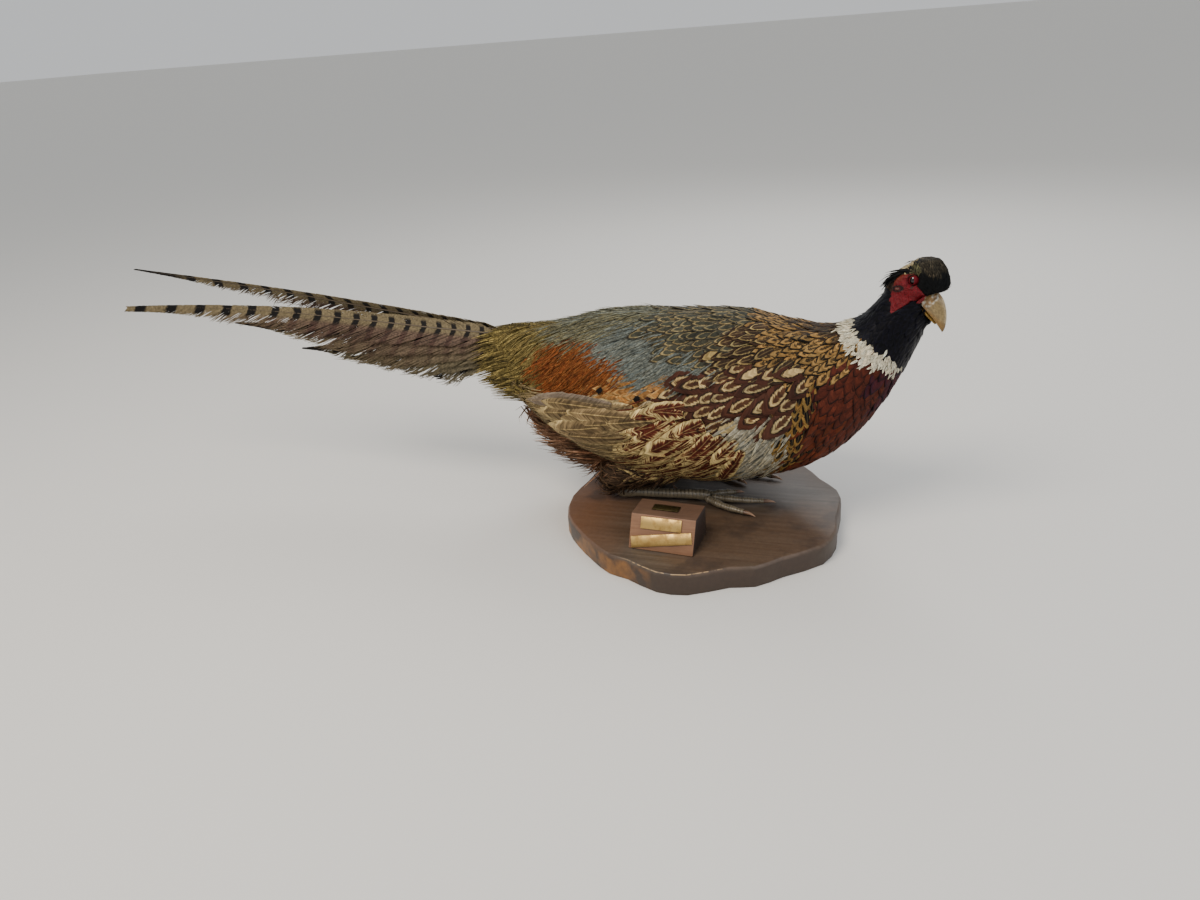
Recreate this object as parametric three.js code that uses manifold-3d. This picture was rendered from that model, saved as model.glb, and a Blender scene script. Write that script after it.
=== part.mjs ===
// A ring-necked pheasant cock, mounted crouching on a round natural-edge slab of wood.
//
// Frame, in millimetres: +Z is up, +X is the way the bird's body points, and +Y is its left side.
// The origin is the centre of the slab's underside. The bird stands behind the slab's middle, so
// that the name block has room in front of its right foot.
import * as THREE from "three";
import { mergeVertices } from "three/addons/utils/BufferGeometryUtils.js";
import Module from "manifold-3d";

const wasm = await Module();
wasm.setup();

// ---------------------------------------------------------------- driving dimensions

const GAP = 0.4; // left between neighbouring solids
const MID_Y = 34; // the upright plane that halves the trunk
const RIGHT = -1; // the sign of each side's direction along Y
const LEFT = 1;
const SIDES = [["right", RIGHT], ["left", LEFT]];

const SLAB_THICKNESS = 20;
const SLAB_BEVEL = 3;
// The slab's scalloped edge: angle round from +X in degrees, and distance from its middle.
const SLAB_EDGE = [
  [-177, 128], [-160, 127], [-146, 122], [-133, 120], [-119, 122], [-110, 119.5], [-95, 127],
  [-83, 127], [-66, 118], [-56, 123], [-43, 121.5], [-25, 132], [-12, 131], [-2, 127], [11, 130],
  [22, 132], [34, 126], [48, 129], [62, 124], [78, 130], [94, 124], [110, 130], [126, 125],
  [140, 130], [153, 133], [168, 126],
];
const FLOOR = SLAB_THICKNESS; // the level that the bird stands on

const BLOCK = { x: -15, y: -95, turn: -4, long: 59, high: 28, deep: 41, slope: 13 };
const PLATE_THICKNESS = 0.9;
// Each brass plate: its size, how far it is turned on its face, and where its middle is, from the
// middle of the face's upper edge.
const FRONT_PLATES = [
  { name: "name_plate_upper", long: 37, high: 10.5, turn: 0.8, right: -1.3, down: 6.8 },
  { name: "name_plate_lower", long: 55, high: 10, turn: 10, right: 0, down: 20.5 },
];
const TOP_PLATE = { name: "name_plate_top", long: 24, high: 9, right: -2, back: 14 };

// Stations of the body from the tail's root to the throat: the middle of each cross-section, then
// its half width, its height above the middle and its depth below it.
const BODY = [
  { x: -200, y: 34, z: 156, wide: 23, up: 25, down: 27 },
  { x: -180, y: 34, z: 154.5, wide: 33, up: 28.5, down: 38 },
  { x: -155, y: 34, z: 145, wide: 44, up: 45, down: 48 },
  { x: -120, y: 34, z: 133, wide: 54, up: 65, down: 63 },
  { x: -75, y: 34, z: 124, wide: 61, up: 77, down: 76 },
  { x: -25, y: 34, z: 120, wide: 65, up: 81, down: 83 },
  { x: 30, y: 34, z: 121, wide: 67, up: 81, down: 83 },
  { x: 70, y: 34, z: 126, wide: 65, up: 73, down: 77 },
  { x: 103, y: 34, z: 137, wide: 57, up: 59, down: 64 },
  { x: 128, y: 33, z: 151, wide: 45, up: 45, down: 48 },
  { x: 147, y: 31, z: 168, wide: 34, up: 34, down: 35 },
  { x: 160, y: 29, z: 186, wide: 27, up: 24.5, down: 27 },
  { x: 169, y: 27, z: 206, wide: 21, up: 19, down: 23 },
  { x: 174, y: 25, z: 224, wide: 16, up: 13, down: 17 },
];
const BODY_SIDES = 22;
const TAIL_COVERTS_TO = 0.9; // where the tail coverts end and the trunk starts, in stations
const TRUNK_TO = 10.15; // where the trunk ends and the neck starts, under the white collar

// Each folded wing, from its tip to its shoulder: the station of the body that it lies at, the
// turns of its upper and lower edges round the body, 0 being the back and 180 the belly, and how
// far its feathers swell above its edges.
const WING = [
  { t: 1.55, top: 110, bottom: 115, swell: 0.4 },
  { t: 2.2, top: 102, bottom: 126, swell: 3 },
  { t: 3.1, top: 90, bottom: 135, swell: 6 },
  { t: 4.1, top: 78, bottom: 142, swell: 8 },
  { t: 5.2, top: 71, bottom: 145, swell: 9 },
  { t: 6.2, top: 66, bottom: 142, swell: 9 },
  { t: 7, top: 64, bottom: 134, swell: 7 },
  { t: 7.6, top: 68, bottom: 119, swell: 4 },
  { t: 7.95, top: 84, bottom: 100, swell: 0.6 },
];
const WING_RIM = 1.2;
const WING_LENGTHS = 13;
const WING_WIDTHS = 5;

// The tail's feathers, from the middle pair down to the outermost: where each tip is, measured
// from the tail's root and out from the bird's middle plane, and how far its length arches up.
const TAIL_ROOT = { x: -203, z: 179, step: 5 };
const TAIL = [
  { back: 446, out: 12, rise: 15, arch: 9, wide: 40 },
  { back: 300, out: 16, rise: 6, arch: 3, wide: 38 },
  { back: 221, out: 18, rise: -14, arch: 3, wide: 36 },
  { back: 172, out: 18, rise: -18, arch: 3, wide: 33 },
  { back: 130, out: 17, rise: -19, arch: 2, wide: 30 },
  { back: 78, out: 16, rise: -22, arch: 1, wide: 26 },
];
// The left middle feather has sprung up, away from its neighbour.
const SPRUNG = { back: 452, out: 16, rise: 49, arch: 4, wide: 40 };
const TAIL_SLOPE = 52; // of the vanes below level, in degrees
const VANE = { edge: 0.35, ridge: 0.9 }; // half of a feather's thickness

// The head's own frame: +X along the bill, +Z through the crown.
const HEAD = { x: 185, y: 22, z: 226, yaw: -22, pitch: 45 };
const SKULL = [
  { x: -22.5, z: -10, wide: 5, up: 5, down: 6 },
  { x: -21.2, z: -9, wide: 11, up: 14.5, down: 11 },
  { x: -17.5, z: -6, wide: 16, up: 22.5, down: 19 },
  { x: -8, z: -5, wide: 18, up: 30.5, down: 23 },
  { x: 1, z: -4, wide: 17.5, up: 28.5, down: 24 },
  { x: 6, z: -1, wide: 14, up: 24, down: 18 },
  { x: 10, z: 6.2, wide: 10.5, up: 14.9, down: 6 },
  { x: 13.4, z: 12, wide: 7, up: 7.1, down: 3.5 },
  { x: 15.1, z: 13, wide: 2.5, up: 3.1, down: 1.5 },
];
// The feathered chin, under the bill.
const CHIN = [
  { x: -2, z: -16, wide: 13, up: 6, down: 8.5 },
  { x: 8, z: -16.6, wide: 10.8, up: 5, down: 8 },
  { x: 16, z: -16, wide: 8.6, up: 4, down: 7 },
  { x: 23, z: -15, wide: 6.2, up: 3, down: 5.5 },
  { x: 27.5, z: -14.4, wide: 3.2, up: 1.5, down: 2.6 },
];
const SKULL_SIDES = 18;
const SKULL_RINGS = 13;
const EYE = { x: -6.8, y: 12.4, z: 3.4, radius: 5.2 };
// The outline of the red bare skin, seen from the side of the head.
const WATTLE = [
  [-16, 2.5], [-18, -5], [-15, -14], [-8, -22], [1, -28.5], [3, -18], [7, -11], [12, -5], [9.5, 0],
  [3, 2.5], [-3, 5.5], [-9, 6.5],
];
const WATTLE_THICKNESS = 1.6;
const TUFT = { from: [-17.5, 11, -3], to: [-23, 15.5, -19], radius: 3.2 };

// Stations of the two halves of the bill, in the head's frame.
const UPPER_BILL = [
  { x: 7, z: -7.2, wide: 8.4, up: 12.4, down: 1.2 },
  { x: 14, z: -7.4, wide: 7.7, up: 13.8, down: 1.2 },
  { x: 20, z: -7.8, wide: 6.5, up: 13.4, down: 1.2 },
  { x: 27, z: -8.8, wide: 4.8, up: 11, down: 1 },
  { x: 33, z: -10, wide: 3.2, up: 7.4, down: 1 },
  { x: 37.4, z: -11.2, wide: 1.7, up: 3.4, down: 0.8 },
  { x: 39, z: -12, wide: 0.5, up: 0.8, down: 0.5 },
];
const LOWER_BILL = [
  { x: 7, z: -9.8, wide: 7.6, up: 0.6, down: 2.6 },
  { x: 15, z: -10, wide: 6.6, up: 0.6, down: 2.8 },
  { x: 22, z: -10.4, wide: 5.2, up: 0.6, down: 2.6 },
  { x: 27, z: -11, wide: 3.6, up: 0.6, down: 1.9 },
  { x: 30.5, z: -11.8, wide: 1.6, up: 0.4, down: 0.9 },
];

// The right leg, as stations of a round limb; the left one is its mirror image.
const THIGH = [
  { x: -26, y: 0, z: 64, radius: 20 },
  { x: -56, y: -2, z: 55, radius: 18 },
  { x: -80, y: -3, z: 43, radius: 15 },
  { x: -87, y: -3, z: 29, radius: 9 },
];
// The soft feathers under the tail's root, on the bird's middle plane.
const VENT = [
  { x: -80, y: MID_Y, z: 77, radius: 37 },
  { x: -110, y: MID_Y, z: 77, radius: 37 },
  { x: -142, y: MID_Y, z: 88, radius: 29 },
  { x: -169, y: MID_Y, z: 99, radius: 14 },
];
const SHANK = [
  { x: -80, y: -2, z: 27.2, radius: 5 },
  { x: -74, y: -2, z: 27.6, radius: 6.4 },
  { x: -60, y: -1, z: 27.4, radius: 4.9 },
  { x: -30, y: 1, z: 27, radius: 4.3 },
  { x: -6, y: 3.4, z: 27, radius: 4.8 },
  { x: 3, y: 4, z: 26.8, radius: 5.4 },
  { x: 8, y: 4.4, z: 26, radius: 4.2 },
];
// Each toe of the right foot: its root, its middle and the end of its pad, then its claw's tip.
const TOES = [
  { name: "inner", path: [[8.4, 8.8, 25.2], [20, 15.5, 25], [29, 21, 23.6]], claw: [37, 26, 21.4] },
  { name: "middle", path: [[13.6, 4, 25.2], [36, 3, 25], [58, 7.6, 23.4]], claw: [69, 11, 21.2] },
  { name: "outer", path: [[8.8, -1.6, 25.2], [25, -12, 25], [44, -17, 23.6]], claw: [55, -20, 21.4] },
  { name: "hind", path: [[-3, 9.4, 25], [-8, 13.6, 24.4], [-12, 17, 23]], claw: [-16, 20.6, 21.2] },
];
const TOE_RADII = [3.5, 3, 2.4];
const SPUR = { from: [-22, 4, 28.2], to: [-29, 12, 30.4], radius: 2.6 };

// ---------------------------------------------------------------- shape helpers

const rad = THREE.MathUtils.degToRad;

// A smooth value of one field of a table of stations, at t stations from its start.
function along(rows, field, t) {
  const last = rows.length - 1;
  const i = Math.min(last - 1, Math.max(0, Math.floor(t)));
  const at = (k) => rows[Math.min(last, Math.max(0, k))][field];
  const f = t - i;
  const [a, b, c, d] = [at(i - 1), at(i), at(i + 1), at(i + 2)];
  return 0.5 * (2 * b + (c - a) * f + (2 * a - 5 * b + 4 * c - d) * f * f + (3 * b - a - 3 * c + d) * f ** 3);
}

// A closed surface through rings that all have the same number of points, with flat ends.
function skinned(rings) {
  const sides = rings[0].length;
  const position = rings.flat().flatMap((p) => p.toArray());
  const index = [];
  for (let i = 0; i + 1 < rings.length; i++) {
    for (let j = 0; j < sides; j++) {
      const [a, b] = [i * sides + j, i * sides + ((j + 1) % sides)];
      index.push(a, b, b + sides, a, b + sides, a + sides);
    }
  }
  for (const ring of [0, rings.length - 1]) {
    const middle = rings[ring].reduce((sum, p) => sum.add(p), new THREE.Vector3()).divideScalar(sides);
    const centre = position.length / 3;
    position.push(...middle.toArray());
    for (let j = 0; j < sides; j++) {
      const [a, b] = [ring * sides + j, ring * sides + ((j + 1) % sides)];
      if (ring === 0) index.push(centre, b, a);
      else index.push(centre, a, b);
    }
  }
  return new THREE.BufferGeometry()
    .setAttribute("position", new THREE.Float32BufferAttribute(position, 3))
    .setIndex(index);
}

// The solid inside a closed surface, whichever way its faces point.
function solidOf(geometry) {
  const bare = geometry.clone();
  bare.deleteAttribute("normal");
  bare.deleteAttribute("uv");
  const merged = mergeVertices(bare, 1e-3);
  const vertProperties = merged.attributes.position.array;
  const triVerts = new Uint32Array(merged.index.array);
  const build = () => new wasm.Manifold(new wasm.Mesh({ numProp: 3, vertProperties, triVerts }));
  const made = build();
  if (made.volume() > 0) return made;
  for (let i = 0; i < triVerts.length; i += 3) {
    [triVerts[i + 1], triVerts[i + 2]] = [triVerts[i + 2], triVerts[i + 1]];
  }
  return build();
}

function geometryOf(solid) {
  const mesh = solid.getMesh();
  const position = new Float32Array(mesh.numVert * 3);
  for (let i = 0; i < mesh.numVert; i++) {
    position.set(mesh.vertProperties.subarray(i * mesh.numProp, i * mesh.numProp + 3), i * 3);
  }
  const geometry = new THREE.BufferGeometry()
    .setAttribute("position", new THREE.BufferAttribute(position, 3))
    .setIndex(new THREE.BufferAttribute(mesh.triVerts, 1));
  geometry.computeVertexNormals();
  return geometry;
}

// A round limb through stations, each a centre and a radius, whose last station may be a point.
function limb(stations, sides, rings) {
  const last = stations.length - 1;
  const centre = (t) => new THREE.Vector3(...["x", "y", "z"].map((k) => along(stations, k, t)));
  const made = [];
  for (let i = 0; i <= rings; i++) {
    const t = (last * i) / rings;
    const ahead = centre(Math.min(last, t + 0.05)).sub(centre(Math.max(0, t - 0.05))).normalize();
    const side = new THREE.Vector3().crossVectors(ahead, new THREE.Vector3(0, 0, 1)).normalize();
    const up = new THREE.Vector3().crossVectors(side, ahead);
    const radius = Math.max(0.25, along(stations, "radius", t));
    const ring = [];
    for (let j = 0; j < sides; j++) {
      const turn = (2 * Math.PI * j) / sides;
      ring.push(centre(t)
        .addScaledVector(side, radius * Math.sin(turn))
        .addScaledVector(up, radius * Math.cos(turn)));
    }
    made.push(ring);
  }
  return solidOf(skinned(made));
}

const station = ([x, y, z], radius) => ({ x, y, z, radius });
const mirrored = (rows) => rows.map((row) => ({ ...row, y: 2 * MID_Y - row.y }));
const onSide = (rows, side) => (side === RIGHT ? rows : mirrored(rows));

// ---------------------------------------------------------------- the group

const parts = new THREE.Group();
function add(name, solid, colour, roughness = 0.8, metalness = 0) {
  const material = new THREE.MeshStandardMaterial({ color: colour, roughness, metalness });
  const mesh = new THREE.Mesh(geometryOf(solid), material);
  mesh.name = name;
  parts.add(mesh);
}

// ---------------------------------------------------------------- body

// A point on the body. turn is 0 on the back, 90 on the right side and 180 on the belly.
function bodyPoint(t, turn, grow = 0) {
  const centre = (u) => new THREE.Vector3(...["x", "y", "z"].map((k) => along(BODY, k, u)));
  const ahead = centre(t + 0.05).sub(centre(t - 0.05)).normalize();
  const side = new THREE.Vector3().crossVectors(ahead, new THREE.Vector3(0, 0, 1)).normalize();
  const up = new THREE.Vector3().crossVectors(side, ahead);
  const [s, c] = [Math.sin(rad(turn)), Math.cos(rad(turn))];
  const wide = along(BODY, "wide", t) + grow;
  const high = along(BODY, c > 0 ? "up" : "down", t) + grow;
  return centre(t).addScaledVector(side, wide * s).addScaledVector(up, high * c);
}

function bodySolid(from, to, rings, grow = 0) {
  const made = [];
  for (let i = 0; i <= rings; i++) {
    const t = from + ((to - from) * i) / rings;
    const ring = [];
    for (let j = 0; j < BODY_SIDES; j++) ring.push(bodyPoint(t, (360 * j) / BODY_SIDES, grow));
    made.push(ring);
  }
  return solidOf(skinned(made));
}

// ---------------------------------------------------------------- wings

// The surface that a folded wing lies on: the body, but wider behind, where the wing's tip leaves it.
const wingBed = (t) => 1.4 + 2.4 * Math.max(0, 3 - t) ** 2;

function wingSolid(side, grow = 0) {
  const last = WING.length - 1;
  const rings = [];
  for (let i = 0; i <= WING_LENGTHS; i++) {
    const u = (last * i) / WING_LENGTHS;
    const t = along(WING, "t", u);
    const top = along(WING, "top", u) - grow;
    const bottom = along(WING, "bottom", u) + grow;
    const place = (v, lift) => {
      const turn = top + (bottom - top) * v;
      const p = bodyPoint(t, turn, wingBed(t) + lift);
      return side === RIGHT ? p : p.setY(2 * MID_Y - p.y);
    };
    const inner = [];
    const outer = [];
    for (let j = 0; j <= WING_WIDTHS; j++) {
      const v = j / WING_WIDTHS;
      inner.unshift(place(v, -grow));
      outer.push(place(v, WING_RIM + grow + along(WING, "swell", u) * Math.sin(Math.PI * v) ** 0.8));
    }
    rings.push([...outer, ...inner]);
  }
  return solidOf(skinned(rings));
}

// ---------------------------------------------------------------- tail

// One tail feather: a flat blade with a low ridge along its shaft, which hangs outwards and down
// from its inner edge, so that the feathers of both sides make a roof.
function tailFeather(side, place, feather) {
  const root = new THREE.Vector3(TAIL_ROOT.x, MID_Y + side * 0.8, TAIL_ROOT.z - TAIL_ROOT.step * place);
  const tip = root.clone().add(new THREE.Vector3(-feather.back, side * feather.out, feather.rise));
  const bend = root.clone().add(tip).multiplyScalar(0.5).add(new THREE.Vector3(0, 0, 2 * feather.arch));
  const edge = new THREE.QuadraticBezierCurve3(root, bend, tip);
  const across = new THREE.Vector3(0, side * Math.cos(rad(TAIL_SLOPE)), -Math.sin(rad(TAIL_SLOPE)));
  const normal = new THREE.Vector3(0, side * Math.sin(rad(TAIL_SLOPE)), Math.cos(rad(TAIL_SLOPE)));
  const rings = [];
  const steps = 7;
  for (let i = 0; i <= steps; i++) {
    const t = i / steps;
    const wide = feather.wide * (0.62 + 1.1 * t * (1 - t) * (1 - t) - 0.42 * t ** 1.5);
    const start = edge.getPoint(t);
    const corner = (share, lift) =>
      start.clone().addScaledVector(across, wide * share).addScaledVector(normal, lift);
    rings.push([
      corner(0, VANE.edge), corner(0.35, VANE.ridge), corner(1, VANE.edge),
      corner(1, -VANE.edge), corner(0.35, -VANE.ridge * 0.5), corner(0, -VANE.edge),
    ]);
  }
  return solidOf(skinned(rings));
}

// ---------------------------------------------------------------- head

const headFrame = new THREE.Matrix4().compose(
  new THREE.Vector3(HEAD.x, HEAD.y, HEAD.z),
  new THREE.Quaternion().setFromEuler(new THREE.Euler(0, rad(HEAD.pitch), rad(HEAD.yaw), "ZYX")),
  new THREE.Vector3(1, 1, 1),
);
const inHead = (x, y, z) => new THREE.Vector3(x, y, z).applyMatrix4(headFrame);

// An oval tube through stations along the head's X, such as the skull or half of the bill.
function headTube(stations, sides, rings, grow = 0) {
  const last = stations.length - 1;
  const made = [];
  for (let i = 0; i <= rings; i++) {
    const t = (last * i) / rings;
    const end = grow * ((2 * i) / rings - 1);
    const ring = [];
    for (let j = 0; j < sides; j++) {
      const turn = (2 * Math.PI * j) / sides;
      const high = along(stations, Math.cos(turn) > 0 ? "up" : "down", t) + grow;
      ring.push(inHead(
        along(stations, "x", t) + end,
        -(along(stations, "wide", t) + grow) * Math.sin(turn),
        along(stations, "z", t) + high * Math.cos(turn),
      ));
    }
    made.push(ring);
  }
  return solidOf(skinned(made));
}

const skull = (grow) => headTube(SKULL, SKULL_SIDES, SKULL_RINGS, grow);
const upperBill = (grow) => headTube(UPPER_BILL, 12, 10, grow);
const lowerBill = (grow) => headTube(LOWER_BILL, 10, 6, grow);
const headWhole = (grow) => skull(grow).add(headTube(CHIN, 12, 7, grow));

function eyeball(side, grow) {
  const ball = new THREE.SphereGeometry(EYE.radius + grow, 10, 6);
  ball.rotateX(Math.PI / 2);
  ball.translate(EYE.x, side * EYE.y, EYE.z);
  return solidOf(ball.applyMatrix4(headFrame));
}

// The red bare skin of one side, as a shell on the skull that is grow thicker all round.
function wattleSolid(side, grow = 0) {
  const outline = new THREE.Shape(new THREE.SplineCurve(
    [...WATTLE, WATTLE[0]].map(([x, z]) => new THREE.Vector2(x, z))).getPoints(16).slice(0, -1));
  const prism = new THREE.ExtrudeGeometry(outline, { depth: 30, bevelEnabled: false });
  prism.rotateX(Math.PI / 2);
  prism.translate(0, side === RIGHT ? -2 : 32, 0);
  return solidOf(prism.applyMatrix4(headFrame)).intersect(skull(GAP + WATTLE_THICKNESS + grow));
}

function earTuft(side) {
  const [from, to] = [TUFT.from, TUFT.to].map(([x, y, z]) => inHead(x, side * y, z).toArray());
  return limb([station(from, TUFT.radius), station(to, 0.5)], 6, 3);
}

// ---------------------------------------------------------------- legs

const thigh = (side) => limb(onSide(THIGH, side), 10, 4);
const shank = (side, grow = 0) =>
  limb(onSide(SHANK, side).map((row) => ({ ...row, radius: row.radius + grow })), 10, 9);

function spur(side) {
  return limb(onSide([station(SPUR.from, SPUR.radius), station(SPUR.to, 0.5)], side), 6, 2);
}

function toeSolid(toe, side) {
  const rows = toe.path.map((point, i) => station(point, TOE_RADII[i]));
  return limb(onSide(rows, side), 8, 4).subtract(shank(side, GAP));
}

function clawSolid(toe, side) {
  const pad = new THREE.Vector3(...toe.path.at(-1));
  const tip = new THREE.Vector3(...toe.claw);
  const root = pad.clone().lerp(tip, (GAP + 0.5) / pad.distanceTo(tip));
  const middle = root.clone().lerp(tip, 0.5).setZ(root.z - 0.4);
  const rows = [station(root.toArray(), 1.7), station(middle.toArray(), 1.2), station(toe.claw, 0.3)];
  return limb(onSide(rows, side), 6, 3);
}

// ---------------------------------------------------------------- mount

function slabSolid() {
  const corners = SLAB_EDGE.map(([turn, away]) =>
    new THREE.Vector3(away * Math.cos(rad(turn)), away * Math.sin(rad(turn)), 0));
  const outline = new THREE.CatmullRomCurve3(corners, true).getPoints(52).slice(0, -1);
  const ring = (inset, z) => outline.map((p) => p.clone().multiplyScalar(1 - inset / p.length()).setZ(z));
  return solidOf(skinned([ring(0, 0), ring(0, SLAB_THICKNESS - SLAB_BEVEL), ring(1.6, SLAB_THICKNESS)]));
}

// The block's own frame has X along its front, Y to the back and Z up, from its front lower edge.
const blockFrame = new THREE.Matrix4()
  .makeTranslation(BLOCK.x, BLOCK.y, FLOOR + GAP)
  .multiply(new THREE.Matrix4().makeRotationZ(rad(BLOCK.turn)));

function blockSolid() {
  const profile = new THREE.Shape();
  profile.moveTo(0, 0).lineTo(BLOCK.slope, BLOCK.high).lineTo(BLOCK.deep, BLOCK.high).lineTo(BLOCK.deep, 0);
  const bar = new THREE.ExtrudeGeometry(profile, { depth: BLOCK.long, bevelEnabled: false });
  // The extruded profile runs along Z; this turns it to run along X, with its outline in YZ.
  bar.applyMatrix4(new THREE.Matrix4().set(0, 0, 1, -BLOCK.long / 2, 1, 0, 0, 0, 0, 1, 0, 0, 0, 0, 0, 1));
  return solidOf(bar.applyMatrix4(blockFrame));
}

// A plate that lies on one of the block's faces. lean is the face's tilt back from level.
function plateSolid(plate, lean, middle) {
  const sheet = new THREE.BoxGeometry(plate.long, plate.high, PLATE_THICKNESS);
  sheet.translate(0, 0, GAP + PLATE_THICKNESS / 2);
  sheet.rotateZ(rad(plate.turn ?? 0));
  sheet.rotateX(lean);
  sheet.translate(...middle);
  return solidOf(sheet.applyMatrix4(blockFrame));
}

function frontPlate(plate) {
  const lean = Math.atan2(BLOCK.high, BLOCK.slope);
  const middle = [
    plate.right,
    BLOCK.slope - plate.down * Math.cos(lean),
    BLOCK.high - plate.down * Math.sin(lean),
  ];
  return plateSolid(plate, lean, middle);
}

// ---------------------------------------------------------------- assembly

const bodyEnd = BODY.length - 1;
const trunkGrown = bodySolid(TAIL_COVERTS_TO, TRUNK_TO, 22, GAP);
const headGrown = headWhole(GAP);
const billGrown = upperBill(GAP).add(lowerBill(GAP));
let neck = bodySolid(TRUNK_TO + 0.03, bodyEnd, 5).subtract(headGrown).subtract(billGrown);
let head = headWhole(0).subtract(billGrown);
let vent = limb(VENT, 16, 6).subtract(trunkGrown);

for (const [name, side] of SIDES) {
  const eyeGrown = eyeball(side, GAP);
  const wattle = wattleSolid(side).subtract(headGrown).subtract(billGrown).subtract(eyeGrown);
  neck = neck.subtract(wattleSolid(side, GAP));
  head = head.subtract(eyeGrown);
  add(`eye_${name}`, eyeball(side, 0), "#1c1008", 0.1);
  add(`wattle_${name}`, wattle, "#8e1f26", 0.6);
  add(`ear_tuft_${name}`, earTuft(side).subtract(headGrown), "#101416");
  add(`wing_${name}`, wingSolid(side), "#8a6238");

  TAIL.forEach((feather, place) => {
    const shape = side === LEFT && place === 0 ? SPRUNG : feather;
    add(`tail_feather_${name}_${place + 1}`, tailFeather(side, place, shape), "#7d6f4d");
  });

  const leg = thigh(side).subtract(trunkGrown).subtract(wingSolid(side, GAP));
  add(`thigh_${name}`, leg.subtract(shank(side, GAP)), "#4a3020");
  add(`shank_${name}`, shank(side), "#3b342a", 0.5);
  add(`spur_${name}`, spur(side).subtract(shank(side, GAP)), "#4a4030", 0.5);
  vent = vent.subtract(thigh(side)).subtract(wingSolid(side, GAP));
  for (const toe of TOES) {
    add(`toe_${toe.name}_${name}`, toeSolid(toe, side), "#4a4030", 0.5);
    add(`claw_${toe.name}_${name}`, clawSolid(toe, side), "#b89a78", 0.4);
  }
}

add("tail_coverts", bodySolid(0, TAIL_COVERTS_TO - 0.02, 3), "#5f6140");
add("trunk", bodySolid(TAIL_COVERTS_TO, TRUNK_TO, 22), "#7a4a26");
add("vent_feathers", vent, "#5a3a22");
add("neck", neck, "#141a30");
add("head", head, "#15161a");
add("bill_upper", upperBill(0), "#b8a070", 0.35);
add("bill_lower", lowerBill(0), "#a98a4a", 0.35);

add("base_slab", slabSolid(), "#4a3222", 0.45);
add("name_block", blockSolid(), "#6e3f28", 0.5);
for (const plate of FRONT_PLATES) add(plate.name, frontPlate(plate), "#b08d4c", 0.35, 0.9);
const topMiddle = [TOP_PLATE.right, BLOCK.slope + TOP_PLATE.back, BLOCK.high];
add(TOP_PLATE.name, plateSolid(TOP_PLATE, 0, topMiddle), "#3a3020", 0.4, 0.9);

export default parts;
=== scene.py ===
"""A ring-necked pheasant cock, mounted on a slab of wood: its skin, plumage, head, feet and stand."""

import math
from dataclasses import dataclass
from functools import partial

import bpy
import numpy as np
from mathutils import Matrix, Vector, noise
from mathutils.bvhtree import BVHTree
from mathutils.kdtree import KDTree


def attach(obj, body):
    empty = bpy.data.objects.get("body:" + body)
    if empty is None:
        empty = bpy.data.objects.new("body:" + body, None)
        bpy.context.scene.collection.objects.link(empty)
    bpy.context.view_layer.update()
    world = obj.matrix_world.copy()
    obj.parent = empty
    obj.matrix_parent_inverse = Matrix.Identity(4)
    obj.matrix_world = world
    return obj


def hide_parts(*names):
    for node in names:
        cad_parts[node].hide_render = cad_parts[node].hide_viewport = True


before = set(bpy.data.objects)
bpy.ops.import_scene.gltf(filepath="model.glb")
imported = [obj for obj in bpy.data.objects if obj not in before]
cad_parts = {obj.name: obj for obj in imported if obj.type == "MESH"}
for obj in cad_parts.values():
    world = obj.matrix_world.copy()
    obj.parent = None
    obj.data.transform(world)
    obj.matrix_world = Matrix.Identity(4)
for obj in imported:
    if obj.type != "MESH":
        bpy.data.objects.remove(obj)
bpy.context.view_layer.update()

bl_info = {
    "name": "Mounted pheasant",
    "version": (1, 0, 0),
    "blender": (4, 5, 0),
    "location": "View3D > Sidebar > Pheasant",
    "description": "Dresses a mounted cock pheasant with skin, feathers, head, feet and stand",
    "category": "Object",
}

MM = 0.001
MIDDLE = 34 * MM  # the plane that halves the trunk, along Y
SIDES = (("right", -1), ("left", 1))
PAINTS = ("heart", "ring", "rim")  # a feather's colours from its middle outwards


def linear(code):
    """The linear colour of an sRGB hex code."""
    parts = [int(code[i : i + 2], 16) / 255 for i in (1, 3, 5)]
    return tuple(c / 12.92 if c <= 0.04045 else ((c + 0.055) / 1.055) ** 2.4 for c in parts)


def rgba(code):
    return (*linear(code), 1)


# ---- where things are on the bird

# The middle of the body from the tail's root to the throat, in millimetres.
SPINE = MM * np.array([
    (-200, 34, 156), (-180, 34, 154.5), (-155, 34, 145), (-120, 34, 133), (-75, 34, 124),
    (-25, 34, 120), (30, 34, 121), (70, 34, 126), (103, 34, 137), (128, 33, 151),
    (147, 31, 168), (160, 29, 186), (169, 27, 206), (174, 25, 224),
])
THROAT = len(SPINE) - 1
HEAD_AT = MM * np.array([185, 22, 226])
HEAD_YAW = -22
HEAD_PITCH = 45
HEAD_TURN = np.array(
    Matrix.Rotation(math.radians(HEAD_YAW), 3, "Z") @ Matrix.Rotation(math.radians(HEAD_PITCH), 3, "Y")
)


def along(rows, t):
    """Smooth values of a table's rows, at t rows from its start."""
    rows = np.asarray(rows, float)
    t = np.asarray(t, float)
    last = len(rows) - 1
    i = np.clip(np.floor(t).astype(int), 0, last - 1)
    f = (t - i)[..., None]
    a, b, c, d = (rows[np.clip(i + k, 0, last)] for k in (-1, 0, 1, 2))
    return 0.5 * (2 * b + (c - a) * f + (2 * a - 5 * b + 4 * c - d) * f**2 + (3 * b - a - 3 * c + d) * f**3)


def unit(v):
    return v / (np.linalg.norm(v, axis=-1, keepdims=True) + 1e-12)


def dot(a, b):
    return (a * b).sum(-1, keepdims=True)


def ramp(low, high, x):
    f = np.clip((x - low) / (high - low), 0, 1)
    return f * f * (3 - 2 * f)


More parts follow.
